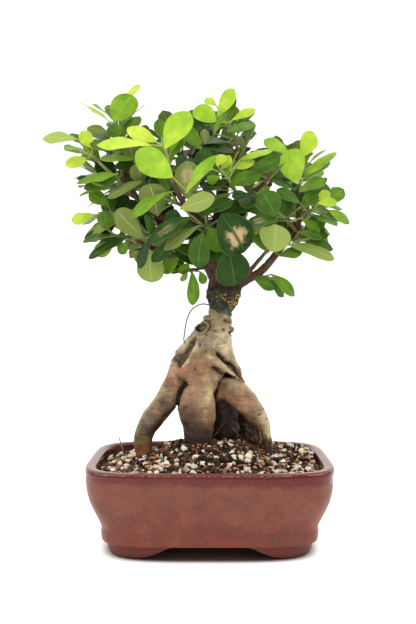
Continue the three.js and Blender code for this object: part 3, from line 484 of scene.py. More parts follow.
def glazeFinish():
    look = {'body': (0.188, 0.060, 0.041), 'red': (0.186, 0.043, 0.029), 'grey': (0.088, 0.044, 0.031),
            'rim': (0.098, 0.008, 0.007), 'top': (0.215, 0.085, 0.075), 'line': (0.46, 0.25, 0.15),
            'spot': (0.095, 0.008, 0.007), 'foot': (0.072, 0.022, 0.017),
            'pale': (0.27, 0.105, 0.08), 'dark': (0.085, 0.036, 0.026)}
    made = Finish('potGlaze')
    height, side = made.frontView()
    cloud = made.noise(30, 4, 0.6, 0.4)
    patch = made.noise(15, 5, 0.66, 0.2)
    fine = made.noise(2.6, 4, 0.7)
    grain = made.noise(0.8, 2, 0.6)
    colour = made.mix(look['body'], look['red'], (cloud + (42 - height) * 0.006).between(0.42, 0.66))
    greyed = (patch + (cloud - 0.5) * 0.5 + (fine - 0.5) * 0.3).between(0.4, 0.72)
    colour = made.mix(colour, look['grey'], greyed * 0.6)
    colour = made.mix(colour, look['grey'], made.noise(5, 4, 0.7).between(0.48, 0.7) * 0.4)
    colour = made.mix(colour, look['pale'], grain.between(0.52, 0.7) * 0.42)
    colour = made.mix(colour, look['dark'], grain.between(0.48, 0.3) * 0.45)
    # dark red where the glaze ran thin under the rim
    band = (height + (made.noise(16, 3) - 0.5) * 9 + (fine - 0.5) * 5 + side * 0.016).between(61.8, 66.2)
    colour = made.mix(colour, look['rim'], band * (0.92 + side * 0.001).clip())
    # a painted highlight round the edge of the rim, and a painted reflection on the rim's paler top
    line = height.between(71.4, 71.9) * height.between(72.5, 72.1)
    colour = made.mix(colour, look['line'], line * made.noise(3.4, 3, 0.7).between(0.45, 0.6) * 0.6)
    colour = made.mix(colour, look['top'], height.between(72.3, 73.0) * (0.7 + (cloud - 0.5) * 0.8).clip())
    # a few dark spots low on the wall; darker on the foot below its step, and faintly over the band
    spots = made.cells(24).between(0.12, 0.06) * height.between(32, 24)
    colour = made.mix(colour, look['spot'], spots * made.noise(17, 2).between(0.44, 0.54) * 0.8)
    footDarkening = (height.between(13.6, 9.5) * 0.5
              + height.between(24.6, 22.6) * height.between(20.4, 22.0) * 0.08)
    colour = made.mix(colour, look['foot'], footDarkening.clip())
    top = height.between(72.2, 72.9)
    rough = 0.4 + (cloud - 0.5) * 0.12 + (fine - 0.5) * 0.1 - band * 0.14 + height.between(12, 4) * 0.12
    relief = made.noise(9, 3) * 0.7 + fine * 0.14 + grain * 0.05
    return made.surface(colour, rough, made.bump(relief, 0.5, 0.4),
                        Coat_Weight=(band * 0.35 + 0.12) * (1 - top * 0.7),
                        Coat_Roughness=0.1, Specular_IOR_Level=0.06)


def makePot():
    recessX, recessY, recessTop = pot['recess']
    select()
    bpy.ops.mesh.primitive_circle_add(vertices=pot['sides'], radius=1, fill_type='NGON')
    body = bpy.context.object
    ringX, ringY = planOutline(recessX, recessY, pot['power'], pot['sides'])
    writePoints(body, np.stack([ringX, ringY, np.full(pot['sides'], recessTop)], axis=1))
    bpy.ops.object.mode_set(mode='EDIT')
    bpy.ops.mesh.select_all(action='SELECT')
    # down the recess under the floor, with a small step out at its edge
    extrudeTo(0.5 - recessTop, 1, 1)
    footX, footY = recessX + 0.6, recessY + 0.6
    extrudeTo(-0.5, footX / recessX, footY / recessY)
    extrudeProfile(potOutside, pot['halfWidth'], pot['halfDepth'], (footX, footY, 0))
    bpy.ops.object.mode_set(mode='OBJECT')
    outwards(body)
    cutWith(body, archCutter(*pot['archX'], False))
    cutWith(body, archCutter(*pot['archY'], True))
    for side in (-1, 1):
        select()
        bpy.ops.mesh.primitive_cylinder_add(vertices=40, radius=pot['drainRadius'], depth=pot['drainDepth'],
                                            location=(side * pot['drainX'], 0, pot['drainZ']))
        bpy.ops.object.transform_apply(location=True)
        cutWith(body, bpy.context.object)
    applyModifier(body, 'BEVEL', width=pot['bevel'], segments=2, limit_method='ANGLE',
                  angle_limit=math.radians(50))
    # the wall was pressed by hand into its mould: it swells a little here and there
    points = readPoints(body)
    wall = ramp(points[:, 2], 25, 41) * ramp(-points[:, 2], -72, -64)
    swell = fractal(points, 70, 2, 3) * 0.5 * wall
    out = points * (1, 1, 0)
    out /= np.maximum(np.linalg.norm(out, axis=1), 1)[:, None]
    writePoints(body, points - out * (swell + 0.35 * wall)[:, None] * (points[:, 2:] > 20))
    return finish(body, 'glazedPot', [glazeFinish()], ['pot'], smooth=38)


makePot()
print('pot made')


# Limbs: a row of [x, y, z, half width, half depth], smoothed between its stations

graftHeight = 196.4
branches = [
    {'name': 'trunk', 'steps': 12,
     'at': [[9.6, 2, graftHeight, 9.9, 9.5], [9.9, 2, 202, 10.6, 10], [11.5, 2, 211.5, 13.9, 12],
            [12.1, 2, 219, 16, 13], [10, 2, 226, 12.4, 11], [6.5, 1, 233, 8.8, 8.5], [1, 0, 243, 8, 8],
            [-1, 0, 252, 7.3, 7.3], [3, 2, 268, 6.3, 6.3], [9, 4, 286, 5.3, 5.3], [12, 5, 303, 4.3, 4.3],
            [14, 6, 319, 3.4, 3.4]]},
    {'name': 'upperLeft', 'steps': 6,
     'at': [[1, 2, 262, 4.5], [-4, 0, 274, 4], [-22, -6, 277.5, 3.8], [-41, -12, 281.4, 3.4],
            [-52, -14, 289, 3.1], [-62.6, -15, 298, 2.8], [-76.6, -15, 317, 2.2]]},
    {'name': 'nearMiddle', 'steps': 6,
     'at': [[2, -2, 262, 4], [0, -9, 273, 3.6], [-13.7, -22, 283, 3.2], [-25, -34, 298, 2.6],
            [-33, -40, 314, 2.1]]},
    {'name': 'lowerLeft', 'steps': 6,
     'at': [[-1, -2, 246, 4], [-10, -8, 247.5, 3.4], [-21.6, -14, 248, 3.1], [-48.6, -24, 254.3, 2.5],
            [-64.4, -28, 261.3, 2]]},
    {'name': 'right', 'steps': 8,
     'at': [[20, 0, 217, 5.5], [29, -4, 225.5, 4.2], [44.8, -10, 235, 3.5], [58.8, -12, 250.8, 3.1],
            [68.4, -12, 262.2, 2.8], [76.2, -10, 270, 2.5], [77.5, -8, 286, 2.2], [77.1, -6, 306, 1.8]]},
    {'name': 'rightTwig', 'steps': 3,
     'at': [[30, -5, 226, 2.2], [35.2, -12, 235.1, 2], [48.3, -18, 250.8, 1.6]]},
    {'name': 'leftTwig', 'steps': 3,
     'at': [[0, -4, 238, 1.8], [-7, -7, 237.5, 1.5], [-13.7, -8, 236, 1.3]]},
    {'name': 'frontSpur', 'steps': 3,
     'at': [[5, -4, 263, 3], [10, -18, 263, 2.4], [15, -30, 264, 1.9]]},
    {'name': 'backLeft', 'steps': 5,
     'at': [[0, 4, 258, 4.2], [-14, 20, 270, 3.6], [-30, 34, 284, 3], [-45, 42, 299, 2.3]]},
    {'name': 'back', 'steps': 5,
     'at': [[6, 6, 276, 4], [8, 24, 290, 3.4], [8, 38, 306, 2.8], [6, 47, 320, 2.2]]},
    {'name': 'backRight', 'steps': 5,
     'at': [[8, 6, 282, 4], [24, 20, 290, 3.4], [40, 31, 300, 2.8], [53, 39, 311, 2.2]]},
    {'name': 'midRight', 'steps': 4,
     'at': [[9, 2, 286, 3.6], [24, -8, 296, 3], [38, -14, 304, 2.4], [48, -18, 312, 1.9]]},
    {'name': 'topRight', 'steps': 3,
     'at': [[13, 5, 306, 3], [20, 0, 324, 2.5], [26, -4, 338, 2]]},
    {'name': 'topLeft', 'steps': 4,
     'at': [[10, 4, 290, 3.6], [-4, 2, 308, 3], [-14, 0, 324, 2.4], [-18, -2, 338, 1.9]]},
]

roots = [
    # trunk and middle root
    {'steps': 13, 'group': 'core',
     'at': [[9.6, 2, graftHeight + 1, 9.5, 9.1], [8, 1, 190, 11.2, 10.5], [5, 0, 183, 14, 12],
            [1, -1, 171, 17.5, 14], [-3, -3, 159, 20, 15], [-6, -5, 149, 19, 15.5], [-8, -7, 140, 16, 15],
            [-10.5, -9, 131, 14, 14.5], [-11.7, -10, 120, 16.3, 15.5], [-10.8, -10, 108, 15.4, 15],
            [-10.2, -10, 97, 13, 13], [-10.5, -10, 84, 12, 12], [-10.5, -10, 62, 11, 11]]},
    # left root
    {'steps': 9, 'group': 'core',
     'at': [[-12, 0, 158, 8, 9], [-23, -1, 146, 12, 11], [-32, -3, 131, 10.8, 10.5],
            [-40.5, -5, 118, 10, 10], [-50, -8, 106, 9.6, 9.6], [-56.5, -10, 95, 8.2, 8.4],
            [-58.5, -11, 84, 7.5, 7.8], [-56.8, -11.5, 73, 7.2, 7.4], [-56, -12, 58, 6.5, 6.5]]},
    # right root
    {'steps': 9, 'group': 'right',
     'at': [[2, 5, 128, 9, 9], [8, 3, 130, 9.5, 10], [19, 0, 130.3, 12, 11.5], [30, -2, 122, 11.3, 11],
            [39, -4, 111, 9.8, 10], [45.5, -5, 101, 7.2, 8], [48, -5, 91, 5.4, 6.5],
            [49, -5, 80, 5.6, 6.2], [49, -5, 58, 5, 5.5]]},
    # the broad shoulder between the trunk and the left root
    {'steps': 4, 'group': 'core',
     'at': [[-7, -2, 168, 13, 12], [-13, -3, 156, 17, 14], [-18.5, -4, 145, 17.5, 14],
            [-21.5, -3, 137, 14.5, 12], [-24, 0, 129, 8, 7]]},
    # ridge behind the crevice on the left
    {'steps': 6, 'group': 'core',
     'at': [[-6, 2, 186, 4, 5], [-16, 3, 173, 5.2, 6], [-25.5, 2, 159, 6, 7], [-29, 0, 145, 8, 8.5],
            [-30, -2, 134, 8, 8]]},
    # ridge down the right side
    {'steps': 6, 'group': 'core',
     'at': [[13, 3, 186, 6, 7], [15, 2, 171, 4.8, 6], [16.5, 1, 159, 5.4, 6], [21, 0, 150, 4.6, 6],
            [24, 0, 141, 4.4, 5.5], [29, -1, 131, 4, 5]]},
    # the small arm across the front
    {'steps': 6, 'group': 'core',
     'at': [[-4, -13, 164, 3.2, 3.2], [2, -15.6, 159, 4.0, 4.0], [8, -16.4, 154, 3.9, 3.8],
            [13.5, -15, 149.8, 3.2, 3.0], [18.6, -12.4, 145.8, 2.1, 2.1], [23.4, -9.2, 142, 1.1, 1.2]]},
    # dark roots in the hollow under the right root
    {'steps': 6, 'group': 'under',
     'at': [[6, 12, 130, 10, 8], [11, 15, 112, 12.5, 8.5], [13, 16, 98, 13, 8.5], [14, 17, 84, 12.5, 8.5],
            [14, 17, 58, 11.5, 7]]},
    {'steps': 7, 'group': 'under',
     'at': [[8, 10, 152, 10, 10], [20, 20, 134, 10, 10], [28, 28, 114, 10.5, 9], [32.5, 32, 96, 11, 8.5],
            [35, 34, 80, 11.5, 8.5], [35, 34, 58, 10.5, 7]]},
    # back root
    {'steps': 7, 'group': 'under',
     'at': [[-6, 8, 154, 11, 10], [-10, 24, 134, 11, 10.5], [-11, 36, 112, 9.5, 9.5],
            [-11, 43, 94, 8.5, 8.5], [-11, 45, 80, 8, 8], [-11, 45, 58, 7, 7]]},
]


def limbPoint(points, t):
    # centripetal Catmull-Rom
    last = len(points) - 1
    k = int(math.floor(last * t))
    weight = last * t - k
    if weight == 0 and k == last:
        k, weight = last - 1, 1.0
    p1, p2 = points[k], points[k + 1]
    p0 = points[k - 1] if k > 0 else 2 * points[0] - points[1]
    p3 = points[k + 2] if k + 2 <= last else 2 * points[last] - points[last - 1]
    d0, d1, d2 = (max(float((b - a).dot(b - a)) ** 0.25, 1e-4) for a, b in ((p0, p1), (p1, p2), (p2, p3)))
    t1 = ((p1 - p0) / d0 - (p2 - p0) / (d0 + d1) + (p2 - p1) / d1) * d1
    t2 = ((p2 - p1) / d1 - (p3 - p1) / (d1 + d2) + (p3 - p2) / d2) * d1
    return (p1 + t1 * weight + (-3 * p1 + 3 * p2 - 2 * t1 - t2) * weight ** 2
            + (2 * p1 - 2 * p2 + t1 + t2) * weight ** 3)


def limbRows(stations, steps):
    points = [sight(s) for s in stations]
    size = [(s[3], s[4] if len(s) > 4 else s[3]) for s in stations]
    rows = []
    for i in range(steps + 1):
        t = i / steps
        k = min(int(math.floor(t * (len(stations) - 1))), len(stations) - 2)
        f = t * (len(stations) - 1) - k
        ease = f * f * (3 - 2 * f)
        wide, deep = (a + (b - a) * ease for a, b in zip(size[k], size[k + 1]))
        ahead = limbPoint(points, min(t + 0.0001, 1)) - limbPoint(points, max(t - 0.0001, 0))
        rows.append({'at': limbPoint(points, t), 'along': unit(ahead), 'wide': wide, 'deep': deep})
    return rows


def limbAlong(rows, segments):
    # a sphere drawn out along the rows: a ring of its points goes to each row, its poles close the ends
    select()
    bpy.ops.mesh.primitive_uv_sphere_add(segments=segments, ring_count=len(rows) + 1, radius=1)
    limb = bpy.context.object
    ball = readPoints(limb)
    ring = np.rint(np.arccos(np.clip(ball[:, 2], -1, 1)) / math.pi * (len(rows) + 1)).astype(int) - 1
    turn = np.arctan2(ball[:, 1], ball[:, 0])
    placed = np.zeros_like(ball)
    for i, row in enumerate(rows):
        front = across(np.array([0.0, -1.0, 0.0]), row['along'])
        aside = np.cross(row['along'], front)
        here = ring == i
        placed[here] = (row['at'] + np.outer(np.cos(turn[here]) * row['wide'], aside)
                        + np.outer(np.sin(turn[here]) * row['deep'], front))
    cap = 0.6
    placed[ring < 0] = rows[0]['at'] - rows[0]['along'] * rows[0]['wide'] * cap
    placed[ring >= len(rows)] = rows[-1]['at'] + rows[-1]['along'] * rows[-1]['wide'] * cap
    writePoints(limb, placed)
    outwards(limb)
    return limb


def frontPlace(points):
    # each point as it is seen from the front, in the plane through the trunk
    reach = (points[:, 1] - eye['y']) / -eye['y']
    return eye['x'] + (points[:, 0] - eye['x']) / reach, eye['z'] + (points[:, 2] - eye['z']) / reach


def strokeDistance(x, z, line):
    # how far each place is from a drawn line
    best = np.full(len(x), 1e9)
    for (ax, az), (bx, bz) in zip(line, line[1:]):
        length = (bx - ax) ** 2 + (bz - az) ** 2
        t = np.clip(((x - ax) * (bx - ax) + (z - az) * (bz - az)) / length, 0, 1)
        best = np.minimum(best, np.hypot(x - ax - t * (bx - ax), z - az - t * (bz - az)))
    return best


# Rootstock

rootstock = {'voxel': 0.9, 'segments': 26, 'smooth': {'core': 7, 'right': 4, 'under': 6}}
knot = {'at': (-6.4, 185.4), 'long': 6.9, 'short': 4.9, 'turn': 36}
stubs = [
    {'steps': 3, 'group': 'core',
     'at': [[14, -1, 183, 4.6, 4.6], [18.5, -2, 183.6, 3, 3.2], [20.9, -2.4, 184.4, 1.5, 2.2]]},
    {'steps': 3, 'group': 'core',
     'at': [[2, -1, 192, 5, 5], [-3, -2, 193.8, 3.4, 3.4], [-5.8, -2.4, 195, 1.5, 1.6]]},
]
# Strokes and outlines are x and z as they are seen from the front.
# a crease: its line, half width, depth, how dark its painted shade is, and the limbs that it cuts
creases = [
    ([(-29.4, 142.5), (-24.1, 139), (-21.6, 136)], 1.4, 1.2, 0.6, 'core'),
    ([(-21.6, 136.4), (-25.2, 131.4), (-27.3, 124.2), (-28.2, 117)], 1.2, 4.0, 1.0, 'core'),
    ([(-21, 135.3), (-14, 136.2), (-6, 135.8), (0, 136.4)], 0.7, 0.5, 0.25, 'core'),
    ([(-25.5, 112.5), (-23.2, 115), (-20, 115.8)], 0.7, 0.8, 0.5, 'core'),
    ([(-24.8, 108), (-24, 112), (-21.5, 114)], 0.7, 0.8, 0.5, 'core'),
    ([(9.4, 144), (6.4, 139.5), (4.2, 134), (3.8, 124), (3.6, 112)], 1.7, 5.0, 1.0, 'right'),
    ([(3, 151), (7, 148.2), (10.5, 145.4), (16, 143.6), (22, 142.2)], 0.9, 2.4, 1.0, 'core'),
    ([(8.5, 144.5), (14, 143.9), (20, 143), (24, 141.5)], 1.0, 2.4, 0.9, 'right'),
    ([(-42, 128.5), (-38, 127.5), (-34, 124), (-31, 121)], 0.8, 0.5, 0.3, 'core'),
    ([(-38.6, 134), (-36, 132.5), (-34, 130)], 0.6, 0.5, 0.35, 'core'),
    ([(-60, 92), (-56, 90.5), (-52, 91)], 0.7, 0.4, 0.25, 'core'),
]
# a rough hollow: its outline, depth, and how dark its painted shade is
hollows = [
    ([(-11.2, 178.8), (-12.5, 172.4), (-15.6, 166.1), (-20.1, 158.1), (-24.6, 151.9), (-26.5, 150),
      (-29.4, 155.4), (-31.8, 159), (-30.8, 163), (-25.5, 163.4), (-21.8, 166.4), (-19.3, 170.5),
      (-16.3, 175), (-14.3, 177.6)], 3.4, 0.55),
    ([(4.6, 165.2), (8.9, 164), (12.9, 160.2), (15.6, 156.6), (20.8, 153), (24.8, 148.3), (28.6, 139.4),
      (23.4, 143.4), (16.2, 151.2), (10.4, 157.2), (6.2, 160.6)], 5.0, 1.0),
]
# pits: x, z, how wide and how tall; each is carved in and darkened with painted shade
pits = [(12.2, 184.0, 1.7, 1.9), (18.2, 181.2, 1.8, 1.8), (-8.6, 170.6, 1.1, 2.6),
        (-2.7, 179.4, 0.9, 0.9), (0.2, 191.9, 1.4, 0.9), (13.9, 192.1, 2.4, 1.9),
        (16.6, 190.6, 1.4, 1.4), (-12.6, 149.4, 1.0, 0.8), (50.1, 105.8, 1.1, 1.1),
        (43, 109.4, 0.9, 0.8), (4.6, 182.4, 0.9, 0.7), (-3.4, 165.4, 0.8, 0.8)]
tones = {
    'cream': (0.50, 0.40, 0.22), 'greyCream': (0.42, 0.34, 0.22), 'khaki': (0.28, 0.205, 0.108),
    'tan': (0.24, 0.145, 0.070), 'pink': (0.25, 0.118, 0.060), 'pinkPale': (0.32, 0.185, 0.105),
    'greyBrown': (0.142, 0.090, 0.056), 'brown': (0.085, 0.038, 0.019),
    'deepBrown': (0.032, 0.015, 0.009), 'olive': (0.135, 0.105, 0.022), 'orange': (0.28, 0.085, 0.017),
    'black': (0.0045, 0.003, 0.0022), 'rust': (0.050, 0.020, 0.010),
}
# bands of bark from the top down, and soft patches on them: x, z, how wide and tall, tone, strength
bands = [(200, 'khaki'), (186, 'khaki'), (172, 'greyCream'), (158, 'tan'), (146, 'pink'), (132, 'tan'),
         (118, 'pinkPale'), (108, 'tan'), (98, 'brown'), (88, 'deepBrown'), (70, 'deepBrown')]
patches = [
    (15.4, 171.5, 6, 14, 'cream', 0.85), (8, 166, 6, 6, 'cream', 0.5),
    (-2, 174, 7, 8, 'greyBrown', 0.55), (2.5, 181, 9, 4, 'khaki', 0.7), (-9.8, 160, 8, 7, 'tan', 0.6),
    (-10, 151.5, 14, 7, 'pink', 0.7), (-20, 147.4, 6, 6, 'pink', 0.7),
    (-25.5, 139.8, 5, 3.6, 'brown', 0.8), (-2.4, 146, 7, 4, 'tan', 0.6),
    (4.4, 141.5, 3.6, 4, 'cream', 0.5), (-21, 129, 5, 7, 'pinkPale', 0.9),
    (-12, 130, 9, 5, 'pinkPale', 0.5), (-2, 127, 4.6, 14, 'cream', 0.8), (-12, 121, 8, 7, 'tan', 0.5),
    (-22, 114, 4, 6, 'brown', 0.8), (-18.5, 108, 9, 9, 'brown', 0.95), (-8, 104, 9, 6, 'brown', 0.6),
    (-2.6, 108, 5, 10, 'tan', 0.7), (-11, 92, 15, 8, 'deepBrown', 0.9),
    (-33, 146, 5, 11, 'pinkPale', 0.95), (-35, 136, 6, 6, 'pink', 0.6), (-22, 172, 5, 5, 'cream', 0.6),
    (-42, 121, 9, 8, 'greyBrown', 0.85), (-55, 104, 9, 11, 'greyBrown', 0.9),
    (-59, 86, 9, 7, 'olive', 0.95), (-56, 75.5, 10, 6, 'orange', 0.9),
]
rightPatches = [
    (19, 138.5, 9, 5, 'greyCream', 0.95), (8.5, 129, 6, 9, 'pink', 0.85),
    (31, 121, 9, 8, 'pinkPale', 0.8), (22, 125, 7, 6, 'pink', 0.6), (46.5, 106, 5, 9, 'cream', 0.7),
    (48.5, 84, 6, 8, 'deepBrown', 0.9),
]
underPatches = [(15, 112, 6, 7, 'rust', 0.9), (10, 103, 3, 4, 'brown', 0.6),
                (20, 100, 4, 5, 'rust', 0.8), (32, 95, 9, 10, 'brown', 0.9), (12, 96, 7, 6, 'rust', 0.4)]
# long strokes of tone: line, half width, tone, strength, limbs; the dark ones are painted shade
# in the creases, the hollow and under the roots, and the cream ones along upper edges add a painted
# highlight to pale bark
washes = [
    ([(2, 159), (10, 153.4), (17, 147.8), (22.6, 142.8)], 2.6, 'cream', 0.95, 'core'),
    ([(-12.5, 168.6), (-17.4, 159.6), (-22.6, 151.8)], 1.6, 'cream', 0.6, 'core'),
    ([(-41, 131), (-52, 119), (-61, 106), (-65.4, 94)], 2.6, 'cream', 0.6, 'core'),
    ([(-28.5, 117.6), (-36.5, 111), (-45, 103), (-52.5, 92)], 3.0, 'deepBrown', 0.9, 'core'),
    ([(31, 137.6), (41.6, 127.4), (49.4, 116), (52.4, 104), (51.6, 92)], 3.6, 'cream', 0.95, 'right'),
    ([(8, 121), (16, 117), (26, 109.6), (35, 101.6), (43, 95)], 3.6, 'brown', 0.95, 'right'),
    ([(10, 118.5), (18, 114.2), (27, 107), (36, 99), (43, 92)], 2.0, 'deepBrown', 0.9, 'right'),
    ([(28.5, 149), (25, 155), (20.5, 161), (19.4, 170)], 2.2, 'cream', 0.7, 'core'),
    ([(-22, 136), (-26.5, 130), (-29.5, 122)], 3.2, 'deepBrown', 0.85, 'core'),
    ([(-30, 162.5), (-28.5, 158), (-26.5, 154)], 1.3, 'greyCream', 0.9, 'core'),
    ([(-24.5, 165), (-21, 161.5), (-22.5, 157)], 0.9, 'cream', 0.8, 'core'),
    ([(-27, 164), (-25, 159)], 0.7, 'black', 0.8, 'core'),
    ([(-21.5, 103), (-22, 94), (-20, 84)], 3.4, 'deepBrown', 0.8, 'core'),
]


def depthInside(x, z, outline):
    # how far each place is inside the outline; below 0 outside it
    inside = np.zeros(len(x), dtype=bool)
    ring = list(zip(outline, outline[1:] + outline[:1]))
    for (ax, az), (bx, bz) in ring:
        crossing = (az > z) != (bz > z)
        level = bz - az if bz != az else 1e-9
        inside ^= crossing & (x < ax + (z - az) * (bx - ax) / level)
    reach = strokeDistance(x, z, outline + outline[:1])
    return np.where(inside, reach, -reach)


def paintBark(points, x, z, facing, group):
    warp = fractal(points, 9, 3, 21)
    heights, names = zip(*bands[::-1])
    levels = np.array([tones[n] for n in names])
    colour = np.stack([np.interp(z + 4 * warp, heights, levels[:, k]) for k in range(3)], axis=1)
    if group == 'under':
        # dark where the front roots shade them, bark brown behind
        colour = colour * 0.4 * (1 - facing[:, None]) + np.array(tones['black']) * facing[:, None]
    chosen = {'core': patches, 'right': rightPatches, 'under': underPatches}[group]
    wx, wz = x + 1.6 * warp, z + 2.2 * fractal(points, 7, 2, 22)
    for px, pz, wide, tall, tone, strength in chosen:
        share = strength * facing * np.exp(-((wx - px) / wide) ** 2 - ((wz - pz) / tall) ** 2)
        colour += (np.array(tones[tone]) - colour) * share[:, None]
    for line, width, tone, strength, limbs in washes:
        if limbs == group:
            share = strength * facing * np.exp(-(strokeDistance(wx, wz, line) / width) ** 2)
            colour += (np.array(tones[tone]) - colour) * share[:, None]
    return colour


def carveKnot(x, z, facing):
    c, s = math.cos(math.radians(knot['turn'])), math.sin(math.radians(knot['turn']))
    dx, dz = x - knot['at'][0], z - knot['at'][1]
    a, b = dx * c + dz * s, dz * c - dx * s
    ring = np.hypot(a / knot['long'], b / knot['short'])
    inside = ramp(-ring, -0.72, -0.6)
    push = (1.7 * np.exp(-((ring - 0.86) / 0.14) ** 2) - 2.6 * inside
            + 0.8 * inside * np.sin(b * 3.1 + np.sin(a)))
    # painted shade: dark inner ring and core, and the ring round it darkest on the right and below
    shade = 0.35 + 0.65 * ramp(a / knot['long'] - 0.6 * b / knot['short'], -0.4, 0.5)
    dark = np.maximum(np.exp(-((ring - 0.66) / 0.1) ** 2), shade * np.exp(-((ring - 1.1) / 0.13) ** 2))
    dark = np.maximum(dark, inside * (0.4 + 0.6 * np.sin(b * 3.1 + np.sin(a))))
    return push * facing, dark * facing


def carveLimbs(body, group):
    points = readPoints(body)
    normals = readPoints(body, 'normal')
    x, z = frontPlace(points)
    front = ramp(-normals[:, 1], -0.3, 0.3)
    facing = front * ramp(-points[:, 1], -16, -4)
    push = np.zeros(len(points))
    dark = np.zeros(len(points))
    rough = np.zeros(len(points))
    grit = fractal(points, 2.6, 3, 5)
    # creases, hollows, pits and the knot are carved in and darkened with painted shade
    for line, width, depth, paintedShade, limbs in creases:
        if limbs == group:
            near = strokeDistance(x, z, line) / (width * (1 + 0.25 * grit))
            cut = np.exp(-near ** 2) * facing
            push += -depth * cut + 0.12 * depth * np.exp(-(near - 2.2) ** 2) * facing
            dark = np.maximum(dark, paintedShade * np.exp(-(near / 0.9) ** 2) * facing)
    if group == 'core':
        for outline, depth, paintedShade in hollows:
            within = depthInside(x, z, outline)
            floor = ramp(within, -0.5, 1.7) * facing
            push += (-depth * floor + 0.9 * np.exp(-((within + 1.6) / 1.1) ** 2) * facing
                     + floor * (1.1 * grit))
            rough = np.maximum(rough, ramp(within, -0.5, 0.5) * facing)
            speckled = 0.55 + 0.45 * ramp(-grit, -0.25, 0.35)
            dark = np.maximum(dark, paintedShade * speckled * ramp(within, 0.1, 1.0) * facing)
        lift, knotShade = carveKnot(x, z, facing)
        push += lift
        dark = np.maximum(dark, knotShade)
        rough = np.maximum(rough, 0.8 * ramp(x, 17, 19) * ramp(z, 176, 180) * ramp(-z, -188, -184))
    for px, pz, wide, tall in pits:
        near = np.hypot((x - px) / wide, (z - pz) / tall)
        push += facing * (-1.3 * np.exp(-near ** 2) + 0.4 * np.exp(-((near - 1.6) / 0.5) ** 2))
        dark = np.maximum(dark, 0.85 * facing * np.exp(-(near / 0.95) ** 4))
    # swellings, rings of wrinkles round each root, and fine bark
    swell = fractal(points * (1, 1, 0.75), 24, 3, 1)
    rings = fractal(points * (0.22, 0.22, 1.9), 8, 3, 2)
    knobs = fractal(points, 5.5, 2, 3) * ramp(z, 168, 184)
    push += 0.9 * swell + 0.3 * rings + 0.13 * grit + 0.7 * knobs
    if group == 'under':
        push += 1.6 * fractal(points, 8, 3, 7) + 0.5 * grit
    writePoints(body, points + normals * push[:, None])
    # the tint carries the painted shade and where the bark is torn
    writeTint(body, np.stack([np.clip(dark, 0, 1), np.clip(rough, 0, 1)], axis=1))
    writeTint(body, paintBark(points, x, z, front, group), 'bark')


def rootFinish():
    look = {'black': (0, 0, 0), 'fleck': (0.11, 0.055, 0.03), 'stain': (0.10, 0.05, 0.028),
            'torn': (0.045, 0.028, 0.017), 'tornPale': (0.32, 0.24, 0.15), 'creaseShade': (0.008, 0.005, 0.004)}
    made = Finish('rootBark')
    dark, rough = made.tint()[:2]
    cloud = made.noise(11, 4, 0.62, 0.3)
    fine = made.noise(3.4, 5, 0.68)
    grain = made.noise(1.1, 3, 0.65)
    streak = made.noise(4.2, 4, 0.6, 0.2, made.scaled(0.45, 0.45, 3.2))
    colour = made.painted('bark')
    shadows = cloud.between(0.54, 0.34) * 0.42 + streak.between(0.5, 0.3) * 0.3
    colour = made.mix(colour, look['black'], shadows.clip())
    lights = cloud.between(0.5, 0.7) * 0.35 + streak.between(0.52, 0.7) * 0.4
    colour = made.mix(colour, colour, lights, 'ADD')
    flecks = made.cells(2.3).between(0.2, 0.06) * made.noise(12, 2).between(0.44, 0.58)
    colour = made.mix(colour, look['fleck'], flecks * 0.7)
    colour = made.mix(colour, look['stain'], fine.between(0.55, 0.66) * 0.3)
    fibrous = made.noise(1.7, 4, 0.7, 0.8, made.scaled(1.6, 1, 0.7))
    shaggy = made.mix(look['torn'], look['tornPale'], fibrous.between(0.46, 0.62))
    colour = made.mix(colour, shaggy, rough * 0.9)
    # painted shade in the creases, hollows, pits and knot
    colour = made.mix(colour, look['creaseShade'], (dark * 0.95).clip())
    shine = 0.5 + (cloud - 0.5) * 0.25 + dark * 0.3 + rough * 0.3
    relief = streak * 0.4 + fine * 0.4 + grain * 0.22
    return made.surface(colour, shine.clip(), made.bump(relief, 0.8, 0.55), Specular_IOR_Level=0.32)


def makeRootstock():
    bark = rootFinish()
    for group, name in (('core', 'rootstockBody'), ('right', 'rightRoot'), ('under', 'backRoots')):
        grown = [r for r in roots + stubs if r['group'] == group]
        limbs = [limbAlong(limbRows(r['at'], 5 * r['steps']), rootstock['segments']) for r in grown]
        body = join(limbs, name)
        applyModifier(body, 'REMESH', mode='VOXEL', voxel_size=rootstock['voxel'])
        applyModifier(body, 'SMOOTH', factor=0.5, iterations=rootstock['smooth'][group])
        carveLimbs(body, group)
        finish(body, name, [bark], ['rootstock'], smooth=None)


makeRootstock()
print('rootstock made')


# Scion: the mossy graft collar, the upper trunk and the branches

scion = {'voxel': 0.8, 'segments': 16, 'trunkSegments': 28, 'smooth': 4, 'collarTop': 228}


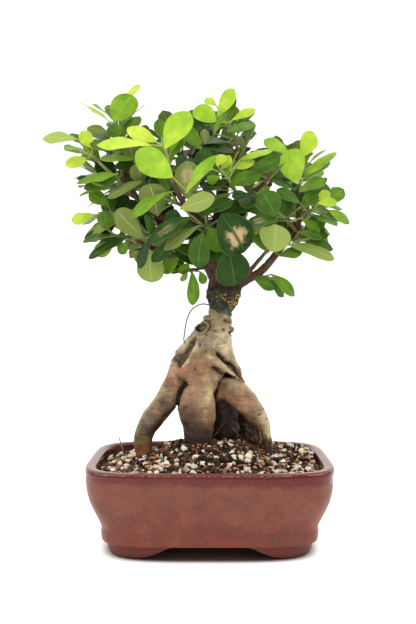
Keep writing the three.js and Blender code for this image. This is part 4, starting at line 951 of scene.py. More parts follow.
def barkFinish():
    look = {'bark': (0.030, 0.012, 0.007), 'warm': (0.090, 0.034, 0.016), 'grey': (0.125, 0.085, 0.056),
            'moss': (0.020, 0.026, 0.010), 'black': (0.007, 0.006, 0.005), 'fleck': (0.66, 0.37, 0.035),
            'green': (0.075, 0.085, 0.022), 'wood': (0.25, 0.19, 0.10), 'lichen': (0.085, 0.115, 0.075),
            'dust': (0.10, 0.075, 0.045), 'speck': (0.42, 0.36, 0.2)}
    made = Finish('scionBark')
    height, side = made.frontView()
    collar, thin = made.tint()[:2]
    cloud = made.noise(14, 4, 0.62)
    fine = made.noise(2.6, 5, 0.7)
    ringed = made.noise(3, 3, 0.6, 0.4, made.scaled(0.5, 0.5, 2.2))
    colour = made.mix(look['bark'], look['warm'], (cloud + thin * 0.12).between(0.42, 0.62))
    colour = made.mix(colour, look['grey'], ringed.between(0.55, 0.72) * (0.25 + thin * 0.45))
    colour = made.mix(colour, look['green'], thin * cloud.between(0.5, 0.4) * 0.5)
    fissure = made.noise(2.2, 4, 0.7, 0.6, made.scaled(1.6, 1.6, 0.4))
    cracks = fine.between(0.5, 0.34) * 0.5 + fissure.between(0.5, 0.4) * (1 - thin * 0.8) * 0.7
    colour = made.mix(colour, look['black'], cracks.clip())
    mossy = made.mix(look['black'], look['moss'], cloud.between(0.4, 0.6))
    mossy = made.mix(mossy, look['dust'], made.noise(4, 4, 0.7).between(0.56, 0.66) * 0.6)
    low = (height + (fine - 0.5) * 5).between(208, 199)
    lichen = low * made.noise(5, 3).between(0.42, 0.56) * side.between(4, 12)
    mossy = made.mix(mossy, look['lichen'], lichen * 0.9)
    # yellow flecks, thickest on the right
    fleck = (made.noise(1.9, 4, 0.75) + (side - 12) * 0.005).between(0.565, 0.615)
    fleck = fleck * made.noise(9, 2).between(0.36, 0.5)
    mossy = made.mix(mossy, look['fleck'], fleck * height.between(218, 213) * height.between(201, 205))
    mossy = made.mix(mossy, look['speck'], made.cells(2.9).between(0.13, 0.05) * 0.5)
    # the rootstock's own bark runs up under it on the left
    wood = (height + side * 0.42 + (made.noise(5, 4, 0.7) - 0.5) * 7).between(203.5, 200.5)
    mossy = made.mix(mossy, made.mix(look['wood'], look['black'], fine.between(0.5, 0.35) * 0.6), wood)
    colour = made.mix(colour, mossy, collar)
    relief = fine * 0.6 + ringed * 0.4 + fissure * 0.5 + made.noise(1.0, 3, 0.7) * 0.3
    return made.surface(colour, 0.72 + (cloud - 0.5) * 0.2, made.bump(relief, 1.2, 0.8),
                        Specular_IOR_Level=0.3)


def makeScion():
    limbs = []
    for branch in branches:
        segments = scion['trunkSegments' if branch['name'] == 'trunk' else 'segments']
        limbs.append(limbAlong(limbRows(branch['at'], 5 * branch['steps']), segments))
    body = join(limbs, 'scionBody')
    applyModifier(body, 'REMESH', mode='VOXEL', voxel_size=scion['voxel'])
    applyModifier(body, 'SMOOTH', factor=0.5, iterations=scion['smooth'])
    points = readPoints(body)
    normals = readPoints(body, 'normal')
    trunk = np.array([row['at'] for row in limbRows(branches[0]['at'], 40)])
    away = np.min(np.linalg.norm(points[:, None] - trunk[None], axis=2), axis=1)
    collar = ramp(-points[:, 2], -scion['collarTop'], -215) * ramp(-away, -30, -22)
    lump = fractal(points, 5.5, 3, 8)
    ringed = fractal(points * (0.4, 0.4, 1.6), 5, 3, 9)
    push = (0.14 * fractal(points, 2.4, 3, 10) + 0.28 * ringed
            + collar * (1.5 * lump + 0.6 * fractal(points, 2.2, 2, 11)))
    writePoints(body, points + normals * push[:, None])
    thin = ramp(away, 12, 40)
    writeTint(body, np.stack([collar, thin], axis=1))
    return finish(body, 'scionBody', [barkFinish()], ['scion'], smooth=None)


makeScion()
print('scion made')


# Leafy shoots
# Each has its stem, from a branch to the tip, the count and length of the leaves that are set out in
# a spiral, its shade (0 dark green to 1 lime), and the leaves that are placed one by one. Such a leaf
# has the foot and the tip of its blade, its width, the turn of its face (0 to the front, 90 up, 180 to
# the back), how far its tip curls, and its shade; a shade below 0 turns its pale underside to the front.
# Where there is a last number, that much painted glare lies on the leaf.

shoots = [
    {'name': 'shoot_left_top', 'stem': [[-76, -15, 316], [-80, -17, 340], [-81, -19, 366]],
     'count': 1, 'size': 30, 'shade': 0.6, 'placed': [
        [-82, -22, 364, -69, -24, 390, 22, 0, 3, 0.66], [-85, -18, 363, -111, -14, 389, 12, 72, 5, 0.85],
        [-78, -12, 378, -60, -6, 399, 10, 35, 2, 0.9], [-74, -20, 362, -57, -24, 381, 11, 76, 2, -0.3],
        [-75, -26, 353, -87, -28, 360, 13, 10, 2, 0.38], [-87, -20, 354, -106, -18, 361, 12, 38, 2, -0.2],
        [-74, -30, 338, -102, -34, 349, 14, 40, 3, 0.4]]},
    {'name': 'shoot_left_far', 'stem': [[-71, -15, 308], [-88, -19, 320], [-106, -20, 340]],
     'count': 1, 'size': 30, 'shade': 0.7, 'placed': [
        [-113, -21, 348, -145, -22, 355, 15, 42, 4, -0.68],
        [-101, -24, 341, -111, -27, 356, 12, 0, 2, 0.92],
        [-106, -24, 331, -125, -28, 327, 13, 30, 2, 0.93],
        [-110, -18, 344, -119, -16, 356, 9, 30, 2, 0.4]]},
    {'name': 'shoot_left_mid', 'stem': [[-66, -15, 301], [-82, -26, 306], [-96, -34, 310]],
     'count': 1, 'size': 36, 'shade': 0.4, 'placed': [
        [-78, -30, 318, -115, -40, 315, 13, 52, 5, 0.6], [-76, -34, 315, -109, -42, 307, 15, 30, 4, 0.4],
        [-56, -30, 312, -89, -38, 302, 14, 45, 4, -0.3]]},
    {'name': 'shoot_left_back', 'stem': [[-62, -15, 298], [-80, 0, 306], [-94, 14, 318]],
     'count': 4, 'size': 35, 'shade': 0.35, 'placed': []},
    {'name': 'shoot_left_up', 'stem': [[-56, -14, 292], [-62, -6, 312], [-64, 2, 334]],
     'count': 3, 'size': 35, 'shade': 0.35, 'placed': [
        [-61, -20, 326, -82, -26, 328, 11, 40, 2, 0.22], [-80, -10, 320, -98, -14, 329, 17, 20, 2, 0.12],
        [-62, -14, 331, -93, -22, 334, 12, 50, 3, 0.75]]},
    {'name': 'shoot_left_low', 'stem': [[-50, -14, 287], [-68, -14, 286], [-90, -12, 286]],
     'count': 1, 'size': 34, 'shade': 0.45, 'placed': [
        [-60, -20, 287, -112, -28, 271, 16, 45, 6, -0.45], [-99, -18, 282, -120, -22, 277, 12, 28, 2, 0.9],
        [-87, -16, 291, -104, -18, 302, 13, 20, 2, 0.5], [-91, -8, 284, -84, -8, 300, 14, 10, 2, 0.3],
        [-80, -8, 286, -71, -6, 301, 13, 10, 2, 0.2]]},
    {'name': 'shoot_low_left', 'stem': [[-64, -28, 261], [-72, -31, 266], [-82, -34, 266]],
     'count': 1, 'size': 36, 'shade': 0.3, 'placed': [
        [-55, -36, 261, -82, -44, 283, 19, 8, 3, -0.42], [-70, -38, 262, -107, -42, 249, 14, 48, 6, 0.2],
        [-49, -38, 263, -64, -46, 237, 11, 35, 3, 0.1], [-82, -34, 258, -99, -36, 246, 13, 10, 2, 0.62],
        [-71, -34, 258, -77, -34, 247, 9, 10, 1, 0.5], [-88, -24, 268, -91, -24, 284, 14, 10, 2, 0.45]]},
    {'name': 'shoot_low_middle', 'stem': [[-46, -23, 253], [-42, -30, 257], [-36, -36, 262]],
     'count': 1, 'size': 32, 'shade': 0.3, 'placed': [
        [-50, -31, 250, -51, -30, 222, 23, 180, 2, -0.5], [-26, -42, 262, -46, -48, 239, 12, 0, 3, 0.15],
        [-24, -26, 244, -41, -26, 232, 13, 20, 2, 0.5]]},
    {'name': 'shoot_low_back', 'stem': [[-24, -14, 249], [-30, -2, 258], [-38, 10, 266]],
     'count': 3, 'size': 34, 'shade': 0.25, 'placed': []},
    {'name': 'shoot_under', 'stem': [[-13, -8, 236.2], [-16, -8.5, 236], [-19, -9, 236]],
     'count': 0, 'size': 25, 'shade': 0.35, 'placed': [
        [-13, -12, 232, -9, -14, 202, 11.5, 10, 2, 0.5], [-6, -13, 232, -1, -14, 221, 8, 10, 1, 0.5],
        [-15, -14, 239, -24, -14, 230, 9, 20, 1, 0.5], [-17, -16, 231, -22, -18, 223, 6, 30, 1, -0.5]]},
    {'name': 'shoot_centre_lime', 'stem': [[-32, -40, 312], [-36, -43, 328], [-40, -45, 344]],
     'count': 0, 'size': 33, 'shade': 0.75, 'placed': [
        [-37, -50, 340, -20, -54, 376, 21, 0, 4, 0.84], [-48, -47, 343, -97, -44, 352, 15, 42, 6, 0.93],
        [-30, -47, 315, -62, -56, 338, 23, 0, 3, 0.78], [-44, -42, 346, -72, -40, 360, 15, 25, 4, 0.98],
        [-19, -44, 300, 2, -52, 338, 11, 30, 5, 0.7], [-39, -34, 347, -43, -34, 367, 11, 20, 1, 0.5]]},
    {'name': 'shoot_centre_low', 'stem': [[-20, -28, 291], [-32, -34, 295], [-42, -34, 300]],
     'count': 1, 'size': 34, 'shade': 0.35, 'placed': [
        [-29, -40, 303, -71, -52, 291, 14, 50, 7, 0.6], [-43, -26, 281, -49, -32, 310, 24, 180, 2, -0.4]]},
    {'name': 'shoot_centre_fill', 'stem': [[-24, -32, 297], [-16, -32, 306], [-8, -34, 318]],
     'count': 2, 'size': 33, 'shade': 0.3, 'placed': [
        [-15, -38, 295, -19, -42, 329, 22, 180, 2, -0.45, 0.8]]},
    {'name': 'shoot_front', 'stem': [[0, -9, 274], [-2, -24, 274], [-3, -38, 273]],
     'count': 0, 'size': 31, 'shade': 0.3, 'placed': [
        [-3, -45, 267, -11, -50, 236, 18, 0, 3, 0.3], [1, -38, 270, 16, -36, 250, 18, 0, 2, 0.45],
        [-4, -42, 273, -41, -46, 258, 15, 45, 4, -0.38],
        [-13, -44, 280, -53, -56, 265, 15, 30, 4, 0.2, 0.3], [-24, -50, 287, 6, -60, 297, 17, 20, 3, -0.5],
        [-3, -48, 281, 20, -52, 299, 13, 30, 3, 0.28], [12, -40, 278, 29, -40, 293, 13, 20, 2, 0.2]]},
    {'name': 'shoot_front_round', 'stem': [[15, -30, 264], [17, -36, 267], [18, -42, 270]],
     'count': 0, 'size': 33, 'shade': 0.15, 'placed': [
        [13, -52, 282, 37, -56, 252, 33, 8, 3, 0.1, 0.8], [19, -48, 254, 28, -50, 220, 29, 5, 3, 0.13]]},
    {'name': 'shoot_right_pale', 'stem': [[48.3, -18, 250.8], [52, -19, 254], [56, -20, 257]],
     'count': 0, 'size': 29, 'shade': 0.4, 'placed': [
        [59, -25, 249, 64, -28, 273, 27, 180, 2, -0.55], [64, -22, 245, 84, -24, 252, 12, 35, 2, 0.45],
        [52, -22, 250, 44, -22, 265, 11, 30, 2, 0.5]]},
    {'name': 'shoot_right_low', 'stem': [[40, -9, 231], [47, -13, 230], [52, -16, 229]],
     'count': 0, 'size': 27, 'shade': 0.4, 'placed': [
        [41, -17, 226, 62, -20, 218, 12, 25, 2, 0.4], [56, -16, 230, 81, -20, 214, 11, 25, 3, 0.5]]},
    {'name': 'shoot_right_long', 'stem': [[69, -12, 263], [75, -16, 262], [82, -18, 263]],
     'count': 1, 'size': 29, 'shade': 0.4, 'placed': [
        [73, -22, 255, 115, -26, 250, 15, 38, 5, -0.5], [80, -24, 267, 103, -28, 264, 11, 45, 3, 0.4]]},
    {'name': 'shoot_right_top', 'stem': [[77, -6, 305], [79, -7, 313], [78, -8, 322]],
     'count': 0, 'size': 32, 'shade': 0.7, 'placed': [
        [81, -14, 309, 71, -18, 339, 24, 0, 3, 0.82], [83, -4, 332, 98, -2, 355, 16, 0, 3, 0.9],
        [74, -10, 335, 52, -6, 351, 13, 20, 3, 0.78], [86, -12, 315, 112, -14, 341, 10, 35, 3, 0.75],
        [80, -16, 303, 53, -20, 319, 9, 45, 3, 0.3], [82, -18, 302, 104, -20, 317, 13, 30, 3, 0.5]]},
    {'name': 'shoot_right_end', 'stem': [[77.6, -8, 284], [88, -12, 288], [100, -14, 292]],
     'count': 1, 'size': 29, 'shade': 0.6, 'placed': [
        [83, -20, 292, 64, -24, 306, 12, 25, 2, 0.35], [98, -18, 292, 116, -20, 295, 11, 35, 2, 0.86],
        [97, -12, 295, 110, -12, 302, 10, 20, 2, 0.9], [108, -18, 286, 128, -22, 277, 11, 35, 3, 0.6],
        [83, -18, 279, 102, -20, 269, 9, 20, 2, 0.5], [84, -14, 287, 96, -14, 303, 12, 15, 2, 0.45]]},
    {'name': 'shoot_right_inner', 'stem': [[75, -11, 270], [68, -22, 278], [60, -30, 286]],
     'count': 1, 'size': 32, 'shade': 0.35, 'placed': [
        [61, -34, 281, 52, -38, 303, 22, 0, 2, 0.38], [64, -36, 278, 36, -46, 279, 14, 50, 3, 0.3, 0.4]]},
    {'name': 'shoot_right_back', 'stem': [[76, -10, 276], [86, 8, 284], [92, 24, 292]],
     'count': 4, 'size': 33, 'shade': 0.4, 'placed': []},
    {'name': 'shoot_mid_right', 'stem': [[47, -17.6, 311], [54, -20, 318], [60, -21, 324]],
     'count': 1, 'size': 30, 'shade': 0.35, 'placed': [
        [38, -24, 320, 65, -30, 332, 15, 20, 3, 0.36], [47, -18, 297, 50, -16, 312, 15, 0, 2, 0.85]]},
    {'name': 'shoot_mid_young', 'stem': [[26, -9, 297], [22, -22, 308], [12, -32, 320]],
     'count': 1, 'size': 25, 'shade': 0.8, 'placed': [
        [6, -34, 322, -6, -36, 327, 9, 20, 2, 0.95], [9, -34, 325, 15, -34, 336, 9, 10, 2, 0.95],
        [13, -30, 322, 22, -30, 334, 9, 15, 2, 0.88], [11, -36, 316, 1, -38, 311, 9, 20, 1, 0.6],
        [20, -26, 308, 45, -34, 321, 14, 20, 3, 0.45], [28, -20, 330, 58, -22, 342, 9, 40, 2, 0.8],
        [24, -22, 323, 43, -24, 330, 10, 30, 2, 0.88]]},
    {'name': 'shoot_mid_low', 'stem': [[38, -14, 304], [42, -26, 300], [44, -36, 296]],
     'count': 3, 'size': 32, 'shade': 0.22, 'placed': []},
    {'name': 'shoot_top', 'stem': [[25.5, -3.6, 337], [22, -6, 350], [16, -8, 364]],
     'count': 1, 'size': 28, 'shade': 0.5, 'placed': [
        [9, -10, 368, 25, -10, 394, 13, 0, 3, 0.85], [8, -14, 364, -8, -18, 379, 17, 10, 3, 0.8],
        [22, -8, 365, 42, -6, 378, 9, 25, 2, 0.88], [9, -4, 378, -1, -2, 386, 8, 20, 2, 0.92],
        [6, -18, 352, 14, -20, 375, 9, 45, 2, 0.5], [18, -12, 355, 43, -14, 364, 11, 35, 2, 0.5],
        [-4, -8, 360, -12, -8, 376, 9, 20, 1, 0.55]]},
    {'name': 'shoot_top_right', 'stem': [[20.5, 0, 325], [28, -6, 338], [34, -8, 350]],
     'count': 2, 'size': 30, 'shade': 0.35, 'placed': [
        [14, -16, 337, 39, -22, 345, 15, 10, 3, 0.2]]},
    {'name': 'shoot_top_left', 'stem': [[-17.5, -2, 337], [-14, -4, 346], [-10, -6, 356]],
     'count': 3, 'size': 31, 'shade': 0.3, 'placed': [
        [-4, -14, 339, -22, -18, 366, 14, 20, 3, 0.55], [-1, -20, 344, -1, -22, 358, 8, 10, 1, -0.2],
        [-1, -12, 360, -15, -14, 368, 8, 20, 1, 0.2]]},
    {'name': 'shoot_top_back_left', 'stem': [[-6, 2, 310], [-20, 16, 326], [-30, 26, 344]],
     'count': 4, 'size': 35, 'shade': 0.3, 'placed': []},
    {'name': 'shoot_back_top', 'stem': [[6, 46.5, 319], [4, 46, 332], [2, 44, 348]],
     'count': 5, 'size': 34, 'shade': 0.5, 'placed': []},
    {'name': 'shoot_back', 'stem': [[8, 38, 306], [20, 46, 314], [32, 52, 320]],
     'count': 4, 'size': 35, 'shade': 0.4, 'placed': []},
    {'name': 'shoot_back_left', 'stem': [[-44, 41.5, 298], [-52, 46, 308], [-59, 48, 320]],
     'count': 5, 'size': 36, 'shade': 0.4, 'placed': []},
    {'name': 'shoot_back_left_low', 'stem': [[-30, 34, 284], [-42, 43, 278], [-55, 47, 272]],
     'count': 4, 'size': 37, 'shade': 0.3, 'placed': []},
    {'name': 'shoot_back_right', 'stem': [[52, 38.5, 310], [58, 43, 320], [62, 44, 328]],
     'count': 4, 'size': 32, 'shade': 0.4, 'placed': []},
    {'name': 'shoot_back_right_low', 'stem': [[40, 31, 300], [52, 40, 290], [66, 44, 282]],
     'count': 4, 'size': 35, 'shade': 0.35, 'placed': []},
    {'name': 'shoot_back_low', 'stem': [[8, 22, 288], [4, 36, 281], [0, 47, 275]],
     'count': 4, 'size': 36, 'shade': 0.25, 'placed': []},
]

# open places in the front view, which only placed leaves reach into: across, up and radius
clearings = [
    (-138, 339, 9), (-130, 304, 16), (-126, 254, 14), (-122, 368, 10), (-105, 371, 7), (-99, 395, 9),
    (-52, 377, 10), (-32, 390, 10), (-10, 388, 8), (38, 390, 9), (59, 367, 14), (75, 366, 11),
    (48, 347, 7), (-62, 366, 4), (-94, 367, 4), (-21, 380, 4), (75, 351, 4), (60, 307, 4), (111, 355, 9),
    (124, 320, 14), (123, 264, 10), (100, 235, 12), (70, 239, 7), (45, 247, 3.5), (52, 238, 6),
    (13, 212, 12), (5, 236, 5), (56, 208, 8), (66, 233, 5), (-33, 218, 11), (-82, 229, 15),
    (-47, 259, 3), (-57, 283, 3),
]
# sizes in millimetres, the spiral's turn in degrees, and the outline of a leaf as shares
leaf = {'spiral': 137.5, 'thickness': 0.7, 'stalkLength': 7, 'stalkHalf': 0.36, 'rodHalf': 0.6,
        'widthShare': 0.56, 'outline': [(0, 0.1), (0.42, 0.84), (0.78, 0.9)], 'stemFoot': 1.7,
        'stemTip': 1.15, 'guard': 0.55, 'tries': 28, 'clearOfBranch': 5, 'stemSteps': 3, 'stemSides': 4}
# the placed leaves and the clearings are read at a slightly larger scale than the branches
reading = {'scale': 0.982, 'x': -2.8, 'z': 7.3}
# the solids' sides and steps, which decide what room each leaf finds
solidSides = {'root': 8, 'trunk': 8, 'twig': 5}
# the smaller leaves that fill in: a shoot tries this many more than its count, turned and sized like this
filling = {'more': 9, 'turn': 68, 'grow': 0.95, 'tries': 18}
# cells across and along a fine and a plain blade, and how strongly it is bent in each way
blade = {'fine': (6, 13), 'plain': (4, 6), 'thickness': 0.5, 'crowd': 0.085, 'fold': 0.25, 'arch': 0.035,
         'wave': 0.026, 'ripple': 0.012, 'drift': 0.13}
# the stems of the shoots in the finer form: steps, sides, and the bud's length, shares and radii
bud = {'steps': 18, 'sides': 8, 'length': 8, 'radii': ((0.25, 1.25), (0.5, 1.05), (0.75, 0.65), (1, 0.2))}


def facets(points, faces):
    points = np.asarray(points, dtype=np.float32).astype(float)
    pairs = {tuple(sorted(pair)) for f in faces for pair in ((f[0], f[1]), (f[1], f[2]), (f[2], f[0]))}
    return {'faces': points[np.array(faces)], 'edges': points[np.array(sorted(pairs))],
            'low': points.min(0).tolist(), 'high': points.max(0).tolist()}


def loftFacets(rings):
    n = len(rings[0])
    faces = []
    for r in range(len(rings) - 1):
        for i in range(n):
            a, b = r * n + i, r * n + (i + 1) % n
            faces += [(a, b, b + n), (a, b + n, a + n)]
    last = (len(rings) - 1) * n
    for i in range(1, n - 1):
        faces += [(0, i + 1, i), (last, last + i, last + i + 1)]
    return facets([p for ring in rings for p in ring], faces)


def limbFacets(limb, sides):
    rings = []
    for row in limbRows(limb['at'], limb['steps']):
        front = across(np.array([0.0, -1.0, 0.0]), row['along'])
        aside = np.cross(row['along'], front)
        turns = [2 * math.pi * k / sides for k in range(sides)]
        rings.append([row['at'] + aside * row['wide'] * math.cos(t) + front * row['deep'] * math.sin(t)
                      for t in turns])
    return loftFacets(rings)


def crosses(edges, faces):
    p = edges[:, None, 0]
    d = edges[:, None, 1] - p
    a = faces[None, :, 0]
    e, f = faces[None, :, 1] - a, faces[None, :, 2] - a
    h = np.cross(d, f)
    det = (e * h).sum(-1)
    flat = np.abs(det) < 1e-12
    det = np.where(flat, 1, det)
    s = p - a
    u = (s * h).sum(-1) / det
    g = np.cross(s, e)
    w = (d * g).sum(-1) / det
    k = (f * g).sum(-1) / det
    return bool((~flat & (u >= 0) & (u <= 1) & (w >= 0) & (u + w <= 1) & (k >= 0) & (k <= 1)).any())


def meets(one, other):
    if (any(a > b for a, b in zip(one['low'], other['high']))
        or any(a > b for a, b in zip(other['low'], one['high']))):
        return False
    return crosses(one['edges'], other['faces']) or crosses(other['edges'], one['faces'])


def bladeFacets(l, extra, withStalk):
    side = np.cross(l['along'], l['up'])
    half = leaf['thickness'] / 2 + extra

    def at(s, w, h):
        return (l['foot'] + l['along'] * l['length'] * s + side * (w * l['width'] / 2 + np.sign(w) * extra)
                + l['up'] * (h * half - l['curl'] * s * s))

    points = []
    if withStalk:
        run = unit(l['foot'] - l['root'])
        u = across(side, run)
        v = across(l['up'] - u * l['up'].dot(u), run)
        reach = leaf['stalkHalf'] + extra
        turns = ((1, 1), (-1, 1), (-1, -1), (1, -1))
        points = [l['root'] + u * w * reach + v * h * reach for w, h in turns]
    for s, w in leaf['outline']:
        points += [at(s, w, 1), at(s, -w, 1), at(s, -w, -1), at(s, w, -1)]
    e = len(points) - 4
    top, low = e + 4, e + 5
    points += [at(1, 0, 1), at(1, 0, -1)]
    faces = [(0, 1, 2), (0, 2, 3)]
    for r in range(0, e, 4):
        for k in range(4):
            a, b = r + k, r + (k + 1) % 4
            faces += [(a, a + 4, b), (b, a + 4, b + 4)] if k == 2 else [(a, b + 4, b), (a, a + 4, b + 4)]
    faces += [(e, top, e + 1), (e + 2, low, e + 3), (e + 1, top, low), (e + 1, low, e + 2),
              (e + 3, low, top), (e + 3, top, e)]
    return facets(points, faces)


def rodFacets(l, extra):
    end = l['foot'] + l['along'] * 0.08 * l['length']
    run = unit(end - l['root'])
    u = across(l['along'] + l['up'], run)
    v = np.cross(run, u)
    reach = leaf['rodHalf'] + extra
    turns = ((1, 0), (0, 1), (-1, 0), (0, -1))
    return loftFacets([[centre + u * a * reach + v * b * reach for a, b in turns]
                       for centre in (l['root'], end)])


def leafFacets(l, extra):
    if unit(l['foot'] - l['root']).dot(l['along']) < 0.2:
        return [bladeFacets(l, extra, False), rodFacets(l, extra)]
    return [bladeFacets(l, extra, True)]


def stemCurve(shoot, t):
    a, b, c = (sight(p) for p in shoot['stem'])
    return a * (1 - t) ** 2 + b * 2 * t * (1 - t) + c * t * t


def stemPoints(shoot):
    return [stemCurve(shoot, i / leaf['stemSteps']) for i in range(leaf['stemSteps'] + 1)]


def onStem(shoot, t):
    points = stemPoints(shoot)
    k = min(int(math.floor(t * leaf['stemSteps'])), leaf['stemSteps'] - 1)
    f = t * leaf['stemSteps'] - k
    return points[k] + (points[k + 1] - points[k]) * f, unit(points[k + 1] - points[k])


def stemFacets(shoot):
    points = stemPoints(shoot)
    steps, sides = leaf['stemSteps'], leaf['stemSides']
    rings = []
    for i, p in enumerate(points):
        along = unit(points[min(i + 1, steps)] - points[max(i - 1, 0)])
        u = across(np.array([0.2, -1.0, 0.1]), along)
        v = np.cross(along, u)
        r = leaf['stemFoot'] + (leaf['stemTip'] - leaf['stemFoot']) * i / steps
        turns = [2 * math.pi * k / sides for k in range(sides)]
        rings.append([p + u * r * math.cos(t) + v * r * math.sin(t) for t in turns])
    return loftFacets(rings)


def stalkRoot(shoot, foot, along):
    stemFoot = onStem(shoot, 0)[0]
    best = None
    for i in range(1, 11):
        root = onStem(shoot, i / 10 - 0.01)[0]
        if np.linalg.norm(root - stemFoot) < leaf['clearOfBranch']:
            continue
        run = foot - root
        score = 9 * unit(run).dot(along) - abs(np.linalg.norm(run) - leaf['stalkLength'])
        if best is None or score > best[0]:
            best = (score, root)
    return best[1]


def fromReading(x, z):
    return reading['scale'] * x + reading['x'], reading['scale'] * z + reading['z']


def readPlace(x, y, z):
    frontX, frontZ = fromReading(x, z)
    return sight((frontX, y, frontZ))


def placedLeaf(shoot, row, n):
    # keeps its place as seen from the front; a try moves it in depth
    fx, fy, fz, tx, ty, tz, width, face, curl, shade = row[:10]
    move = (1 if n % 2 else -1) * math.ceil(n / 2) * 2.2
    foot, tip = readPlace(fx, fy + move * 0.6, fz), readPlace(tx, ty + move, tz)
    along = unit(tip - foot)
    front = across(np.array([0.0, -1.0, 0.0]), along)
    over = np.cross(along, front)
    if over[2] < 0:
        over = -over
    up = front * math.cos(math.radians(face)) + over * math.sin(math.radians(face))
    return {'root': stalkRoot(shoot, foot, along), 'foot': foot, 'along': along, 'up': up,
            'length': float(np.linalg.norm(tip - foot)), 'width': width, 'curl': curl,
            'shown': width * abs(math.cos(math.radians(face))), 'shade': abs(shade),
            'flip': shade < 0 and face <= 90, 'glare': row[10] if len(row) > 10 else 0, 'placed': True}


def spiralLeaf(shoot, i, which, n, count=None, spread=0.0, grow=1.0):
    # a try turns it round the stem, lifts or drops it and makes it smaller
    t = 0.22 + 0.77 * ((i + 0.5) / (count or shoot['count']))
    root, stem = onStem(shoot, t)
    turn = (1 if n % 2 else -1) * math.ceil(n / 2) * 12
    angle = math.radians(leaf['spiral'] * i + 360 * draw(which, 3) + turn + spread)
    tilt = math.radians(72 - 44 * t + 14 * (draw(which, 20 + i) - 0.5) + 13 * math.sin(2.4 * n))
    u = across(np.array([0.3, -1.0, 0.2]), stem)
    v = np.cross(stem, u)
    out = u * math.cos(angle) + v * math.sin(angle)
    along = unit(stem * math.cos(tilt) + out * math.sin(tilt))
    # faces lean to the front in the front half of the crown, and upwards behind
    behind = min(1, max(0, (root[1] + 5) / 40))
    lean = np.array([draw(which, 40 + i) - 0.5, draw(which, 60 + i) - 1.7 + 1.6 * behind, 1.4]) * 0.5
    up = across(lean + stem * 0.5, along)
    grown = 1.12 - 0.35 * t + 0.22 * (draw(which, 80 + i) - 0.5)
    length = shoot['size'] * grown * (1 - 0.012 * n) * grow
    # lighter towards the tip of the shoot; darker among the filling leaves and at the back, as painted
    # shade
    shade = shoot['shade'] * (1 if grow == 1 else 0.75) + 0.22 * (t - 0.6)
    shade = shade + 0.22 * (draw(which, 140 + i) - 0.5) - 0.14 * ramp(root[1], -5, 30)
    return {'root': root, 'foot': root + along * leaf['stalkLength'], 'along': along, 'up': up,
            'length': length, 'width': length * leaf['widthShare'] * (0.94 + 0.16 * draw(which, 100 + i)),
            'curl': length * (0.05 + 0.1 * draw(which, 120 + i)), 'shade': shade,
            'flip': False, 'glare': 0, 'placed': False}


def seen(p):
    # the other way from sight: a point's place in the front view, and its depth
    reach = (p[1] - eye['y']) / -eye['y']
    return np.array([eye['x'] + (p[0] - eye['x']) / reach, eye['z'] + (p[2] - eye['z']) / reach, p[1]])


def inTheWay(l, fronts):
    # in the front view the leaves of a spiral stay out of the clearings and behind the placed leaves
    side = np.cross(l['along'], l['up'])
    spots = ((0.1, 0), (0.4, 0.8), (0.4, -0.8), (0.7, 0.9), (0.7, -0.9), (1, 0))
    marks = [seen(l['foot'] + l['along'] * s * l['length'] + side * w * l['width'] / 2) for s, w in spots]
    for x, z, r in clearings:
        openX, openZ = fromReading(x, z)
        if any(math.hypot(m[0] - openX, m[1] - openZ) < r for m in marks):
            return True
    for o in fronts:
        foot, tip = seen(o['foot']), seen(o['foot'] + o['along'] * o['length'])
        ax, az = tip[0] - foot[0], tip[1] - foot[1]
        length = math.hypot(ax, az)
        for m in marks:
            mx, mz = m[0] - foot[0], m[1] - foot[1]
            run = (mx * ax + mz * az) / length / length
            out = (mz * ax - mx * az) / length / (o['shown'] / 2 + 0.5)
            if m[2] < foot[2] + 4 and (2 * run - 1) ** 2 + out ** 2 < 0.85:
                return True
    return False


def placeLeaves():
    woody = [limbFacets(b, solidSides['trunk' if b['name'] == 'trunk' else 'twig']) for b in branches]
    woody += [limbFacets(r, solidSides['root']) for r in roots[:5]]
    stems = [stemFacets(s) for s in shoots]
    placed = [[] for s in shoots]
    # the smaller leaves stay within the reach of the others
    room = []

    def hasRoom(which, l):
        bare = bladeFacets(l, leaf['guard'], False)
        whole = leafFacets(l, leaf['guard'])
        low = np.min([piece['low'] for piece in whole], axis=0)
        high = np.max([piece['high'] for piece in whole], axis=0)
        if room and ((low < room[0]).any() or (high > room[1]).any()):
            return False
        if any(meets(piece, w) for piece in whole for w in woody):
            return False
        if any(meets(piece, s) for k, s in enumerate(stems) if k != which for piece in whole):
            return False
        for k, others in enumerate(placed):
            for other in others:
                if k == which:
                    if meets(bare, other['bare']):
                        return False
                elif any(meets(piece, part) for part in other['whole'] for piece in whole):
                    return False
        return True

    def settle(which, make, tries, fronts=None):
        for n in range(tries):
            l = make(n)
            if not (fronts and inTheWay(l, fronts)) and hasRoom(which, l):
                placed[which].append({**l, 'bare': bladeFacets(l, 0, False), 'whole': leafFacets(l, 0)})
                return

    for which, s in enumerate(shoots):
        for row in s['placed']:
            settle(which, lambda n: placedLeaf(s, row, n), leaf['tries'])
    fronts = [l for others in placed for l in others]
    for which, s in enumerate(shoots):
        for i in range(s['count']):
            settle(which, lambda n: spiralLeaf(s, i, which, n), leaf['tries'], fronts)
    solid = sum(len(p) for p in placed)
    # smaller leaves fill in between them
    wholes = [piece for others in placed for l in others for piece in l['whole']]
    corners = np.array([piece[end] for piece in wholes for end in ('low', 'high')])
    room.extend([corners.min(0), corners.max(0)])
    for which, s in enumerate(shoots):
        more = s['count'] + filling['more']
        for i in range(more):
            settle(which, lambda n: spiralLeaf(s, i, which, n, more, filling['turn'], filling['grow']),
                   filling['tries'], fronts)
    print('leaves', solid, 'and', sum(len(p) for p in placed) - solid)
    return placed


